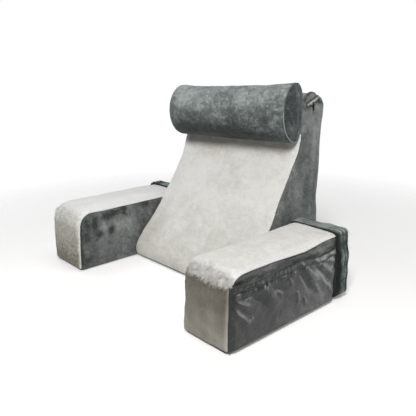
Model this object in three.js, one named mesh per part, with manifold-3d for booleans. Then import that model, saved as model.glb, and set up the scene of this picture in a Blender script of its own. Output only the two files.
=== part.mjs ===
// A backrest pillow: a grey velvet wedge with a white plush face, two armrest
// cushions with white plush tops, and a neck roll. Millimetres, +Z up. X runs
// across the pillow, -Y is the side the user leans on, and the origin is the
// middle of the wedge's flat base.
import * as THREE from 'three';
import { mergeVertices } from 'three/addons/utils/BufferGeometryUtils.js';
import Module from 'manifold-3d';

const wasm = await Module();
wasm.setup();

// Driving sizes.
const GAP = 0.3;             // air between two pieces that touch
const SKIN = 5;              // white plush cloth with its pile
const WEDGE_HALF = 230;      // half width of the wedge between the armrests
const WEDGE_TAPER = 11.5;    // how much each side draws in towards the top
const TAPER_TO = 192;        // height where they have drawn in fully
const WEDGE_SKEW = 0.0153;   // the wedge and roll stand a little askew in plan
const WEDGE_EDGE = 9;        // rounding of the wedge's side edges
const WEDGE_CROWN = 3;       // swell of the lean-on face in its middle
const SIDE_SWELL = 5;        // swell of the side panels above the armrests
const ARM_RIGHT_WIDTH = 139;
const ARM_LEFT_WIDTH = 151;  // the left armrest is plumper than the right
const ARM_FRONT = -350;
const ARM_REAR = 63;
const ARM_TOP = 170;         // height of the seam along the armrest's top
const ARM_CROWN = 8;         // swell of the armrest's top above that seam
const ARM_NOSE = 43;         // radius of the top front corner
const ARM_EDGE = 7;          // rounding of the armrest's side edges
const ARM_SWELL = 7;         // swell of the left armrest's outer side
const STRAP_FRONT = 15;      // the strap's front edge, near the armrest's rear
const STRAP_REAR = 62.5;
const STRAP_THIN = 3;        // strap under and inside the armrest
const STRAP_FULL = 6;        // bunched strap over the top and the outer side
const ROLL_HALF_HEIGHT = 75;
const ROLL_LEFT = -213;
const ROLL_RIGHT = 216.5;
const WELT_RADIUS = 1.8;     // cord round each end of the roll
const POCKET_SLACK = 6.6;    // room between the pocket's cloth and the armrest
const POCKET_SHEET = 2;
const HEM_FULLNESS = 1.2;    // extra thickness of the gathered hem
const TAPE_WIDTH = 15;
const CHAIN_WIDTH = 6.5;
const PANEL_ROUND = 2.4;     // how far a white panel's side edges round down
const SEAM_ROUND = 2;        // the same for the grey cloth under them

const velvet = new THREE.MeshStandardMaterial({ color: 0x7c8584, roughness: 0.8, metalness: 0 });
const plush = new THREE.MeshStandardMaterial({ color: 0xdcdbd6, roughness: 0.95, metalness: 0 });
const satin = new THREE.MeshStandardMaterial({ color: 0x55595a, roughness: 0.55, metalness: 0 });
const band = new THREE.MeshStandardMaterial({ color: 0x4d5856, roughness: 0.7, metalness: 0 });
const tapeCloth = new THREE.MeshStandardMaterial({ color: 0x4a4e4c, roughness: 0.85, metalness: 0 });
const champagne = new THREE.MeshStandardMaterial({ color: 0xcfc6a8, roughness: 0.35, metalness: 0.9 });
const blackMetal = new THREE.MeshStandardMaterial({ color: 0x1b1b1c, roughness: 0.5, metalness: 0.6 });

const pillow = new THREE.Group();

// Plain helpers.
const clamp = (v, low, high) => Math.min(high, Math.max(low, v));
const mix = (a, b, t) => a + (b - a) * t;
const smooth = (low, high, v) => {
  const t = clamp((v - low) / (high - low), 0, 1);
  return t * t * (3 - 2 * t);
};
const bump = (v, middle, width) => Math.exp(-(((v - middle) / width) ** 2));

// Signed volume of a triangle list, to see whether its faces point out.
function signedVolume(points, faces) {
  const volumeOf = ([a, b, c]) => {
    const [p, q, r] = [points[a], points[b], points[c]].map((v) => new THREE.Vector3(...v));
    return p.dot(q.cross(r)) / 6;
  };
  return faces.reduce((sum, face) => sum + volumeOf(face), 0);
}

function geometryOf(points, faces) {
  const outward = signedVolume(points, faces) > 0;
  const turned = outward ? faces : faces.map(([a, b, c]) => [a, c, b]);
  const geometry = new THREE.BufferGeometry();
  geometry.setAttribute('position', new THREE.Float32BufferAttribute(points.flat(), 3));
  geometry.setIndex(turned.flat());
  return geometry;
}

// Quads between two rings of equal length, as triangles.
function bridge(faces, count, from, to) {
  for (let i = 0; i < count; i += 1) {
    const next = (i + 1) % count;
    faces.push([from + i, from + next, to + next], [from + i, to + next, to + i]);
  }
}

// A closed body through a row of rings, with a point closing each end.
function ringSolid(rings, firstPole, lastPole) {
  const count = rings[0].length;
  const points = [...rings.flat(), firstPole, lastPole];
  const faces = [];
  rings.slice(1).forEach((_, k) => bridge(faces, count, k * count, (k + 1) * count));
  const poles = rings.length * count;
  const last = (rings.length - 1) * count;
  for (let i = 0; i < count; i += 1) {
    const next = (i + 1) % count;
    faces.push([poles, next, i], [poles + 1, last + i, last + next]);
  }
  return geometryOf(points, faces);
}

// A band that closes on itself: each ring is one section of it.
function loopSolid(rings) {
  const count = rings[0].length;
  const faces = [];
  rings.forEach((_, k) => bridge(faces, count, k * count, ((k + 1) % rings.length) * count));
  return geometryOf(rings.flat(), faces);
}

// A sheet between two grids of the same size, closed round its rim.
function sheetSolid(outer, inner) {
  const rows = outer.length;
  const columns = outer[0].length;
  const points = [...outer.flat(), ...inner.flat()];
  const offset = rows * columns;
  const at = (r, c) => r * columns + c;
  const faces = [];
  for (let r = 0; r < rows - 1; r += 1) {
    for (let c = 0; c < columns - 1; c += 1) {
      const [a, b, d, e] = [at(r, c), at(r, c + 1), at(r + 1, c + 1), at(r + 1, c)];
      faces.push([a, b, d], [a, d, e]);
      faces.push([a + offset, d + offset, b + offset], [a + offset, e + offset, d + offset]);
    }
  }
  const rim = [];
  for (let c = 0; c < columns - 1; c += 1) rim.push(at(0, c));
  for (let r = 0; r < rows - 1; r += 1) rim.push(at(r, columns - 1));
  for (let c = columns - 1; c > 0; c -= 1) rim.push(at(rows - 1, c));
  for (let r = rows - 1; r > 0; r -= 1) rim.push(at(r, 0));
  rim.forEach((p, k) => {
    const q = rim[(k + 1) % rim.length];
    faces.push([p + offset, q + offset, q], [p + offset, q, p]);
  });
  return geometryOf(points, faces);
}

// A solid for cutting, and the geometry that a cut leaves.
function toManifold(geometry) {
  const bare = geometry.clone();
  bare.deleteAttribute('normal');
  bare.deleteAttribute('uv');
  const merged = mergeVertices(bare, 1e-4);
  const vertProperties = new Float32Array(merged.attributes.position.array);
  const triVerts = new Uint32Array(merged.index.array);
  return new wasm.Manifold(new wasm.Mesh({ numProp: 3, vertProperties, triVerts }));
}

function cut(geometry, ...tools) {
  const solid = tools.reduce((rest, tool) => rest.subtract(toManifold(tool)), toManifold(geometry));
  const mesh = solid.getMesh();
  const result = new THREE.BufferGeometry();
  result.setAttribute('position', new THREE.Float32BufferAttribute(mesh.vertProperties, 3));
  result.setIndex(new THREE.Uint32BufferAttribute(mesh.triVerts, 1));
  return result;
}

// The wedge, its zip and the roll stand a little askew between the armrests.
function askew(geometry) {
  return geometry.applyMatrix4(new THREE.Matrix4().makeShear(WEDGE_SKEW, 0, 0, 0, 0, 0));
}

function add(name, geometry, material) {
  const mesh = new THREE.Mesh(geometry, material);
  mesh.name = name;
  pillow.add(mesh);
}

// Outlines lie in the YZ plane and run bottom, rear, top, front, so that the
// outward direction at a point is on the right of the way it runs.
function outlineOf(stretches) {
  const points = stretches.flatMap(({ points: list, part, spacing }) => {
    const curve = new THREE.SplineCurve(list.map(([y, z]) => new THREE.Vector2(y, z)));
    const steps = Math.max(1, Math.round(curve.getLength() / spacing));
    return curve.getSpacedPoints(steps).slice(0, -1).map((p) => ({ y: p.x, z: p.y, part }));
  });
  return points.map((p, i) => {
    const before = points[(i + points.length - 1) % points.length];
    const after = points[(i + 1) % points.length];
    const run = new THREE.Vector2(after.y - before.y, after.z - before.z).normalize();
    return { ...p, ny: run.y, nz: -run.x };
  });
}

const shifted = (p, distance) => [p.y + p.ny * distance, p.z + p.nz * distance];

// Points of an arc round a corner, from one angle to another in degrees.
function arc(centreY, centreZ, radius, from, to, steps) {
  return Array.from({ length: steps + 1 }, (_, k) => {
    const angle = THREE.MathUtils.degToRad(mix(from, to, k / steps));
    return [centreY + radius * Math.cos(angle), centreZ + radius * Math.sin(angle)];
  });
}

// The wedge's side outline: base, back, shoulder, zip notch, rounded top,
// hollow lean-on face and blunt nose.
const WEDGE_OUTLINE = outlineOf([
  { part: 'base', spacing: 75, points: [[-148, 0], [0, 0], [137, 0]] },
  { part: 'back', spacing: 60, points: [[137, 0], [142.5, 7], [145.5, 144], [150.5, 300], [155, 420],
    [156.5, 466]] },
  { part: 'shoulder', spacing: 13, points: [[156.5, 466], [146, 482], [136, 490], [128, 487]] },
  { part: 'top', spacing: 13, points: [[128, 487], [120.5, 496.5], [106.5, 500], [91, 497.5], [77, 487],
    [67.5, 470]] },
  { part: 'collar', spacing: 12, points: [[67.5, 470], [64.5, 456]] },
  { part: 'front', spacing: 33, points: [[64.5, 456], [61.5, 420], [54, 378], [42, 340], [25, 303], [11.5, 279],
    [-20, 228], [-53.5, 174], [-72.5, 144], [-101, 110], [-133, 76], [-147, 54]] },
  { part: 'front', spacing: 11, points: [[-147, 54], [-156, 38], [-157.5, 22], [-154, 8.5]] },
  { part: 'front', spacing: 4, points: [[-154, 8.5], [-151.6, 4.8], [-149.5, 2]] },
  { part: 'base', spacing: 8, points: [[-149.5, 2], [-148, 0]] },
]);
const WEDGE_CENTRE = { y: 92, z: 190 };

const halfWidthAt = (z) => WEDGE_HALF - WEDGE_TAPER * clamp(z / TAPER_TO, 0, 1);

// Stations across a cushion: share of the half width left after the edge, how
// far in from the side it lies, and how far the edge has rounded down there.
const EDGE_STEPS = [
  { inward: 0, drop: 1 },
  { inward: 0.3, drop: 0.3 },
  { inward: 1, drop: 0 },
];
const FACE_SHARES = [0.86, 0.62, 0.32];

function stationsAcross(edge) {
  const side = [
    ...EDGE_STEPS.map((step) => ({ share: 1, inward: step.inward * edge, drop: step.drop })),
    ...FACE_SHARES.map((share) => ({ share, inward: 0, drop: 0 })),
  ];
  const left = side.map((s) => ({ ...s, sign: -1 }));
  const middle = { share: 0, inward: 0, drop: 0, sign: 1 };
  return [...left, middle, ...side.map((s) => ({ ...s, sign: 1 })).reverse()];
}
const crownAt = (share) => 1 - share ** 2;
const FLOOR_FADE = [8, 50];  // heights between which a face's swell fades out towards the floor

// The lean-on cloth hides this much of the wedge's own depth.
const wedgeSkin = (p) => (p.part === 'front' ? SKIN + GAP : 0);

function wedgeStation(p, station, depth, drop) {
  const swells = p.part === 'front' || p.part === 'collar';
  const crown = swells ? WEDGE_CROWN * crownAt(station.share) * smooth(...FLOOR_FADE, p.z) : 0;
  const [y, z] = shifted(p, crown - depth - station.drop * drop);
  const x = station.sign * (station.share * halfWidthAt(z) - station.inward);
  return [x, y, z];
}

function wedgeCushion() {
  const edgeDrop = (p) => (wedgeSkin(p) ? SEAM_ROUND : WEDGE_EDGE);
  const stations = stationsAcross(WEDGE_EDGE);
  const rings = stations.map((s) => WEDGE_OUTLINE.map((p) => wedgeStation(p, s, wedgeSkin(p), edgeDrop(p))));
  const capShares = [0.86, 0.6, 0.3];
  const cap = (sign) => capShares.map((share) => WEDGE_OUTLINE.map((p) => {
    const [, y, z] = wedgeStation(p, stations[0], wedgeSkin(p), edgeDrop(p));
    const capY = mix(WEDGE_CENTRE.y, y, share);
    const capZ = mix(WEDGE_CENTRE.z, z, share);
    const swell = SIDE_SWELL * crownAt(share) * smooth(ARM_TOP + 10, ARM_TOP + 90, capZ);
    return [sign * (halfWidthAt(capZ) + swell), capY, capZ];
  }));
  const pole = (sign) => [sign * halfWidthAt(WEDGE_CENTRE.z), WEDGE_CENTRE.y, WEDGE_CENTRE.z];
  return ringSolid([...cap(-1).reverse(), ...rings, ...cap(1)], pole(-1), pole(1));
}

// A sheet over some stretches of the wedge's outline. The white plush goes over
// the nose and up the lean-on face, to a seam behind the roll.
function wedgeSheet(parts, lift, depth) {
  const covered = WEDGE_OUTLINE.filter((p) => parts.includes(p.part));
  const stations = stationsAcross(WEDGE_EDGE);
  const outer = stations.map((s) => covered.map((p) => wedgeStation(p, s, -lift, PANEL_ROUND)));
  const inner = stations.map((s) => covered.map((p) => wedgeStation(p, s, depth, 0)));
  return sheetSolid(outer, inner);
}

// Sweeps a flat section along a route whose points carry the way across the
// section and the way out of the cloth. Stops are its places across, levels
// its heights over the cloth, both from low to high.
function sweepFlat(route, stops, levels) {
  const [first, last] = [stops[0], stops[stops.length - 1]];
  const [low, high] = [levels[0], levels[levels.length - 1]];
  const section = [
    ...stops.map((side) => [side, low]),
    ...levels.slice(1, -1).map((level) => [last, level]),
    ...stops.map((side) => [side, high]).reverse(),
    ...levels.slice(1, -1).reverse().map((level) => [first, level]),
  ];
  const rings = route.map(({ at, across, out }) => section.map(([side, level]) => (
    at.clone().addScaledVector(across, side).addScaledVector(out, level).toArray())));
  const middleOf = (ring) => ring[0].map((_, i) => ring.reduce((sum, p) => sum + p[i], 0) / ring.length);
  return ringSolid(rings, middleOf(rings[0]), middleOf(rings[rings.length - 1]));
}

// The zip climbs the right side panel, goes over the edge at the notch and
// runs across the top to the same place on the left.
const ZIP_RISE = [[78, 466.5], [94.5, 472.5], [108.5, 478], [117.5, 482]];
const ZIP_NOTCH = { y: 128, z: 487 };
const ZIP_BEND = 8;
const ZIP_SLOPE = Math.atan2(ZIP_RISE[3][1] - ZIP_RISE[0][1], ZIP_RISE[3][0] - ZIP_RISE[0][0]);
const TOP_HALF = WEDGE_HALF - WEDGE_TAPER;

// A route point: turned from the side panel (0) to the top (1).
function zipPoint(x, y, z, turned) {
  const lean = (1 - turned) * (Math.PI / 2 - ZIP_SLOPE);
  const turn = turned * Math.PI / 2;
  const across = new THREE.Vector3(0, -Math.cos(lean), Math.sin(lean));
  const up = new THREE.Vector3(0, Math.sin(lean), Math.cos(lean)).multiplyScalar(Math.sin(turn));
  const out = new THREE.Vector3(Math.cos(turn), 0, 0).add(up);
  return { at: new THREE.Vector3(x, y, z), across, out };
}

function zipRoute() {
  const side = ZIP_RISE.map(([y, z]) => zipPoint(TOP_HALF, y, z, 0));
  const [lastY, lastZ] = ZIP_RISE[ZIP_RISE.length - 1];
  const bend = [0.2, 0.4, 0.6, 0.78, 0.92].map((t) => {
    const x = TOP_HALF - ZIP_BEND * (1 - Math.cos(t * Math.PI / 2));
    const climb = Math.sin(t * Math.PI / 2);
    return zipPoint(x, mix(lastY, ZIP_NOTCH.y, climb), mix(lastZ, ZIP_NOTCH.z, climb), t);
  });
  const top = [0.95, 0.7, 0.35].map((share) => zipPoint(share * TOP_HALF, ZIP_NOTCH.y, ZIP_NOTCH.z, 1));
  const right = [...side, ...bend, ...top];
  const flip = (v) => new THREE.Vector3(-v.x, v.y, v.z);
  const left = right.map((p) => ({ at: flip(p.at), across: flip(p.across), out: flip(p.out) }));
  return [...right, zipPoint(0, ZIP_NOTCH.y, ZIP_NOTCH.z, 1), ...left.reverse()];
}
const ZIP_ROUTE = zipRoute();
const TAPE_TOP = 0.9;
const TAPE_LOW = -1.1;
const CHAIN_TOP = 3.1;
const CHAIN_STOPS = [-CHAIN_WIDTH / 2, CHAIN_WIDTH / 2];
const tapeStops = (half) => [-half, ...CHAIN_STOPS, half];
const zipTape = sweepFlat(ZIP_ROUTE, tapeStops(TAPE_WIDTH / 2), [TAPE_LOW, TAPE_TOP]);
const pastEnd = (end, before) => {
  const beyond = end.at.clone().sub(before.at).setLength(2 * GAP);
  return { ...end, at: end.at.clone().add(beyond) };
};
const channelRoute = [pastEnd(ZIP_ROUTE[0], ZIP_ROUTE[1]), ...ZIP_ROUTE,
  pastEnd(ZIP_ROUTE[ZIP_ROUTE.length - 1], ZIP_ROUTE[ZIP_ROUTE.length - 2])];
const CHANNEL_MOUTH = 15;    // the zip's channel is open to this height
const CHANNEL_LEVELS = [TAPE_LOW - GAP, TAPE_TOP + GAP, CHANNEL_MOUTH];
const zipChannel = sweepFlat(channelRoute, tapeStops(TAPE_WIDTH / 2 + GAP), CHANNEL_LEVELS);
const zipChain = sweepFlat(ZIP_ROUTE, CHAIN_STOPS, [TAPE_TOP + 2 * GAP, CHAIN_TOP]);

// A small plate with a rounded outline, standing on the side panel.
function plateOnSide(outline, low, high, middle, turn) {
  const shape = new THREE.Shape(outline.map(([y, z]) => new THREE.Vector2(y, z)));
  const plate = new THREE.ExtrudeGeometry(shape, { depth: high - low, bevelEnabled: false });
  const basis = new THREE.Matrix4().makeBasis(
    new THREE.Vector3(0, 1, 0), new THREE.Vector3(0, 0, 1), new THREE.Vector3(1, 0, 0));
  plate.rotateZ(turn);
  plate.applyMatrix4(basis);
  plate.translate(TOP_HALF + low, middle.y, middle.z);
  return plate;
}
const SLIDER = { y: 94.5, z: 472.5, length: 13, width: 9, high: 6.6 };
const PULL = { length: 21, width: 5.5, thick: 1.4 };

function sliderBody() {
  const [l, w] = [SLIDER.length / 2, SLIDER.width / 2];
  const outline = [[-l, -w * 0.55], [-l * 0.3, -w], [l * 0.7, -w], [l, -w * 0.5],
    [l, w * 0.5], [l * 0.7, w], [-l * 0.3, w], [-l, w * 0.55]];
  return plateOnSide(outline, CHAIN_TOP + GAP, SLIDER.high, SLIDER, ZIP_SLOPE);
}

function sliderPull() {
  const w = PULL.width / 2;
  const outline = [[-w * 0.7, 0], [w * 0.7, 0], [w, 3], [w, PULL.length - 4], [w * 0.5, PULL.length],
    [-w * 0.5, PULL.length], [-w, PULL.length - 4], [-w, 3]].map(([y, z]) => [y, -z]).reverse();
  const low = SLIDER.high + GAP;
  return plateOnSide(outline, low, low + PULL.thick, SLIDER, 0);
}

add('wedge_cushion', askew(cut(wedgeCushion(), zipChannel)), velvet);
add('wedge_front_panel', askew(wedgeSheet(['front'], 0, SKIN)), plush);
add('zip_tape', askew(zipTape), tapeCloth);
add('zip_chain', askew(zipChain), champagne);
add('zip_slider', askew(sliderBody()), champagne);
add('zip_pull', askew(sliderPull()), blackMetal);

// The armrests are built on the right, from the wedge's side outwards, and
// mirrored for the left one.
const ARM_INNER = WEDGE_HALF + GAP;
const ARM_OUTLINE = outlineOf([
  { part: 'base', spacing: 70, points: [[ARM_FRONT + 5.5, 0], [ARM_REAR - 9, 0]] },
  { part: 'rear', spacing: 8, points: arc(ARM_REAR - 9, 9, 9, -90, 0, 3) },
  { part: 'rear', spacing: 48, points: [[ARM_REAR, 9], [ARM_REAR, ARM_TOP - 12]] },
  { part: 'top', spacing: 9, points: arc(ARM_REAR - 12, ARM_TOP - 12, 12, 0, 90, 3) },
  { part: 'top', spacing: 52, points: [[ARM_REAR - 12, ARM_TOP], [-140, ARM_TOP + 1],
    [ARM_FRONT + ARM_NOSE + 6, ARM_TOP]] },
  { part: 'top', spacing: 12, points: arc(ARM_FRONT + ARM_NOSE + 6, ARM_TOP - ARM_NOSE, ARM_NOSE, 90, 172, 5) },
  { part: 'top', spacing: 40, points: [[ARM_FRONT + 6, ARM_TOP - 38], [ARM_FRONT + 1, 60], [ARM_FRONT + 1, 10]] },
  { part: 'top', spacing: 4, points: [[ARM_FRONT + 1, 10], [ARM_FRONT + 2, 5.5], [ARM_FRONT + 4, 2]] },
  { part: 'base', spacing: 8, points: [[ARM_FRONT + 4, 2], [ARM_FRONT + 5.5, 0]] },
]);
const ARM_CENTRE = { y: -150, z: 84 };
const armSkin = (p) => (p.part === 'top' ? SKIN + GAP : 0);

// Places a point of the right armrest. The share runs from -1 at the wedge to
// 1 at the outer side. The top swells quickly beside its seams.
function armStation(p, station, depth, drop, width) {
  const fade = smooth(...FLOOR_FADE, p.z) * smooth(0, 25, ARM_REAR - p.y);
  const crown = p.part === 'top' ? ARM_CROWN * (1 - station.share ** 4) * fade : 0;
  const [y, z] = shifted(p, crown - depth - station.drop * drop);
  const x = ARM_INNER + width / 2 + station.sign * (station.share * width / 2 - station.inward);
  return [x, y, z];
}

const ARM_STATIONS = stationsAcross(ARM_EDGE);

function armCushion(width, outerSwell) {
  const edgeDrop = (p) => (armSkin(p) ? SEAM_ROUND : ARM_EDGE * 0.7);
  const place = (p, s) => armStation(p, s, armSkin(p), edgeDrop(p), width);
  const rings = ARM_STATIONS.map((s) => ARM_OUTLINE.map((p) => place(p, s)));
  const capShares = [0.82, 0.5];
  const cap = (sign, swell) => capShares.map((share) => ARM_OUTLINE.map((p) => {
    const [, y, z] = place(p, ARM_STATIONS[0]);
    const side = sign < 0 ? ARM_INNER : ARM_INNER + width;
    const capY = mix(ARM_CENTRE.y, y, share);
    return [side + sign * swell * Math.sqrt(crownAt(share)), capY, mix(ARM_CENTRE.z, z, share)];
  }));
  const inner = cap(-1, 0).reverse();
  const outer = cap(1, outerSwell);
  const poles = [[ARM_INNER, ARM_CENTRE.y, ARM_CENTRE.z],
    [ARM_INNER + width + outerSwell, ARM_CENTRE.y, ARM_CENTRE.z]];
  return ringSolid([...inner, ...rings, ...outer], ...poles);
}

function armPlushPanel(width) {
  const top = ARM_OUTLINE.filter((p) => p.part === 'top');
  const outer = ARM_STATIONS.map((s) => top.map((p) => armStation(p, s, 0, PANEL_ROUND, width)));
  const inner = ARM_STATIONS.map((s) => top.map((p) => armStation(p, s, SKIN, 0, width)));
  return sheetSolid(outer, inner);
}

// The strap goes once round the armrest's rear. Its own outline lies in the XZ
// plane: bottom, outer side, top, inner side.
const STRAP_TOP = ARM_TOP + ARM_CROWN * 0.7;
const STRAP_CORNER = 9;

function strapOutline(innerX, outerX, bottom, top) {
  const corner = STRAP_CORNER;
  const turn = (x, z, from) => arc(x, z, corner, from, from + 90, 2);
  const run = (a, b, steps) => Array.from({ length: steps - 1 }, (_, k) => {
    const t = (k + 1) / steps;
    return [mix(a[0], b[0], t), mix(a[1], b[1], t)];
  });
  const corners = [
    turn(outerX - corner, bottom + corner, -90), turn(outerX - corner, top - corner, 0),
    turn(innerX + corner, top - corner, 90), turn(innerX + corner, bottom + corner, 180),
  ];
  return corners.flatMap((points, k) => {
    const next = corners[(k + 1) % 4];
    return [...points, ...run(points[points.length - 1], next[0], 3)];
  });
}

// Lengthwise creases of the bunched strap: where each ridge lies across its
// width, and how high it stands.
const STRAP_RIDGES = [
  { across: 0.0, height: 0.55 },
  { across: 0.16, height: 1.0 },
  { across: 0.34, height: 0.62 },
  { across: 0.5, height: 0.95 },
  { across: 0.68, height: 0.6 },
  { across: 0.84, height: 0.92 },
  { across: 1.0, height: 0.5 },
];

// The strap itself, or with a clearance the room that the armrest leaves for
// it, which is open towards the outside.
const ROOM_MARGIN = 20;
const ROOM_PAST_REAR = 6;
const ROOM_PAST_FACE = 2;

function strapLoop(width, clearance) {
  const isRoom = clearance > 0;
  const [inner, outer] = [ARM_INNER + STRAP_THIN, ARM_INNER + width];
  const margin = isRoom ? ROOM_MARGIN : 0;
  const past = isRoom ? ROOM_PAST_FACE : 0;
  const [low, high] = [STRAP_THIN + clearance, STRAP_TOP - clearance];
  const lining = strapOutline(inner + clearance, outer - clearance, low, high);
  const faceAt = (height) => strapOutline(ARM_INNER - past, outer + STRAP_FULL * height + margin,
    -past, STRAP_TOP + STRAP_FULL * height + margin);
  const ridges = isRoom ? [{ across: 0, height: 1 }, { across: 1, height: 1 }] : STRAP_RIDGES;
  const front = STRAP_FRONT - clearance;
  const rear = STRAP_REAR + (isRoom ? ROOM_PAST_REAR : 0);
  const faces = ridges.map(({ across, height }) => ({ y: mix(front, rear, across), outline: faceAt(height) }));
  const rings = lining.map(([x, z], k) => [
    [x, front, z],
    ...faces.map(({ y, outline }) => [outline[k][0], y, outline[k][1]]),
    [x, rear, z],
  ]);
  return loopSolid(rings);
}

// The pocket: a sheet that stands off the right armrest's outer side, comes
// back to it at the front, the rear and the floor, and is open along its hem.
const POCKET_FRONT = ARM_FRONT + 5;
const POCKET_REAR = STRAP_FRONT - 3;
const POCKET_BOTTOM = 4;
const HEM_LINE = [
  { along: 0, height: 149 }, { along: 0.15, height: 143.5 }, { along: 0.38, height: 145 },
  { along: 0.6, height: 147 }, { along: 0.82, height: 139 }, { along: 1, height: 143 },
];

function hemHeightAt(t) {
  const k = Math.min(HEM_LINE.length - 2, HEM_LINE.findLastIndex((row) => row.along <= t));
  const [a, b] = [HEM_LINE[k], HEM_LINE[k + 1]];
  return mix(a.height, b.height, smooth(a.along, b.along, t));
}

// Drag folds: soft ridges that leave a point on the hem in a direction.
const DRAG_FOLDS = [
  { y: -130, z: 138, toY: -58, toZ: 55, width: 11, height: 3.6 },
  { y: -118, z: 134, toY: -40, toZ: 92, width: 8, height: 2.6 },
  { y: -142, z: 138, toY: -152, toZ: 60, width: 12, height: 2.4 },
  { y: -262, z: 132, toY: -222, toZ: 78, width: 12, height: 3.4 },
  { y: -341, z: 126, toY: -296, toZ: 58, width: 11, height: 3.2 },
  { y: -60, z: 128, toY: -20, toZ: 60, width: 9, height: 2.4 },
];

function foldAt(y, z) {
  return DRAG_FOLDS.reduce((sum, fold) => {
    const [dy, dz] = [fold.toY - fold.y, fold.toZ - fold.z];
    const length = Math.hypot(dy, dz);
    const along = ((y - fold.y) * dy + (z - fold.z) * dz) / length / length;
    const aside = ((y - fold.y) * dz - (z - fold.z) * dy) / length;
    const fade = smooth(-0.15, 0.15, along) * (1 - smooth(0.75, 1.25, along));
    return sum + fold.height * fade * bump(aside, 0, fold.width);
  }, 0);
}

const POCKET_COLUMNS = 26;
const POCKET_ROWS = [0, 0.05, 0.16, 0.32, 0.5, 0.68, 0.84, 0.93, 1];
const POCKET_TURN = 0.035;   // share of its length in which an end comes back to the armrest
const BOTTOM_TURN = 0.055;   // the same for its lower edge

function pocketSheet() {
  const armSide = ARM_INNER + ARM_RIGHT_WIDTH + GAP;
  const grid = (thickness) => Array.from({ length: POCKET_COLUMNS + 1 }, (_, c) => {
    const t = c / POCKET_COLUMNS;
    const y = mix(POCKET_FRONT, POCKET_REAR, t);
    const edge = smooth(0, POCKET_TURN, t) * smooth(0, POCKET_TURN, 1 - t);
    return POCKET_ROWS.map((share) => {
      const z = mix(POCKET_BOTTOM, hemHeightAt(t), share);
      const standOff = POCKET_SLACK * edge * smooth(0, BOTTOM_TURN, share);
      const folds = foldAt(y, z) * edge * smooth(0, 0.2, share);
      const hem = thickness ? HEM_FULLNESS * smooth(0.9, 0.95, share) : 0;
      return [armSide + standOff + folds + thickness + hem, y, z];
    });
  });
  return sheetSolid(grid(POCKET_SHEET), grid(0));
}

const mirroredX = (geometry) => {
  const copy = geometry.clone();
  copy.scale(-1, 1, 1);
  copy.setIndex(Array.from(copy.index.array).reverse());
  return copy;
};

// One armrest with its white panel and its strap, as built on the right side.
function armrest(width, outerSwell) {
  const strapRoom = strapLoop(width, GAP);
  return {
    cushion: cut(armCushion(width, outerSwell), strapRoom),
    panel: cut(armPlushPanel(width), strapRoom),
    strap: strapLoop(width, 0),
  };
}

const rightArm = armrest(ARM_RIGHT_WIDTH, 0);
const leftArm = armrest(ARM_LEFT_WIDTH, ARM_SWELL);
add('arm_right_cushion', rightArm.cushion, velvet);
add('arm_right_plush_panel', rightArm.panel, plush);
add('strap_right', rightArm.strap, band);
add('arm_right_pocket', pocketSheet(), satin);
add('arm_left_cushion', mirroredX(leftArm.cushion), velvet);
add('arm_left_plush_panel', mirroredX(leftArm.panel), plush);
add('strap_left', mirroredX(leftArm.strap), band);

// The neck roll: an oval that lies against the lean-on face, fuller and a
// little lower at its left end.
const ROLL_ENDS = {
  left: { y: 35.3, z: 436, front: 58, rear: 34 },
  right: { y: 38.7, z: 449.5, front: 50, rear: 31 },
};
const ROLL_POINTS = 28;
const ROLL_EDGE = 3;
const ROLL_SAG = 2;

function rollPoint(x, k, inset) {
  const t = (x - ROLL_LEFT) / (ROLL_RIGHT - ROLL_LEFT);
  const at = (key) => mix(ROLL_ENDS.left[key], ROLL_ENDS.right[key], t);
  const angle = 2 * Math.PI * k / ROLL_POINTS;
  const depth = (Math.cos(angle) < 0 ? at('front') : at('rear')) - inset;
  const height = ROLL_HALF_HEIGHT - inset;
  const sag = ROLL_SAG * Math.sin(Math.PI * t);
  return [x, at('y') + depth * Math.cos(angle), at('z') - sag + height * Math.sin(angle)];
}
const rollRing = (x, inset) => Array.from({ length: ROLL_POINTS }, (_, k) => rollPoint(x, k, inset));

// An end of the roll domes out: how far past its seam, and how far in from it.
const END_DOME = [{ out: 0, inset: ROLL_EDGE }, { out: 1, inset: 12 }, { out: 3, inset: 30 }];
const DOME_HEIGHT = 4;
const BODY_SHARES = [0, 0.14, 0.32, 0.5, 0.68, 0.86, 1];

function rollCushion() {
  const body = BODY_SHARES.map((t) => mix(ROLL_LEFT + ROLL_EDGE, ROLL_RIGHT - ROLL_EDGE, t));
  const rings = [
    ...END_DOME.map(({ out, inset }) => rollRing(ROLL_LEFT - out, inset)).reverse(),
    ...body.map((x) => rollRing(x, 0)),
    ...END_DOME.map(({ out, inset }) => rollRing(ROLL_RIGHT + out, inset)),
  ];
  const { left, right } = ROLL_ENDS;
  return ringSolid(rings, [ROLL_LEFT - DOME_HEIGHT, left.y, left.z], [ROLL_RIGHT + DOME_HEIGHT, right.y, right.z]);
}

// The cord sewn into the seam round an end disc.
function rollWelt(x) {
  const sides = 6;
  const rings = rollRing(x, 0).map((p, k) => Array.from({ length: sides }, (_, s) => {
    const angle = 2 * Math.PI * s / sides;
    const radial = WELT_RADIUS * Math.cos(angle);
    const [, y, z] = rollPoint(x, k, -radial);
    return [x + WELT_RADIUS * Math.sin(angle), y, z];
  }));
  return loopSolid(rings);
}

const ROOM_DEPTH = 20;
const faceRoom = wedgeSheet(['top', 'collar', 'front'], GAP, ROOM_DEPTH);
add('roll_cushion', askew(cut(rollCushion(), faceRoom)), velvet);
add('roll_welt_left', askew(cut(rollWelt(ROLL_LEFT), faceRoom)), velvet);
add('roll_welt_right', askew(cut(rollWelt(ROLL_RIGHT), faceRoom)), velvet);

export default pillow;
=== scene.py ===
# %% [markdown]
# # A backrest pillow with two armrests
# The pillow is a tall wedge of foam in a grey velvet cover with a white plush face.
# Two armrests, a neck roll, an open side pocket, two straps and a zip belong to it.
# The solid model is loaded first and stays fixed, and every cloth piece is made over it.
# A size in this lesson is in metres unless its name or its table says millimetres.

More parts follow.
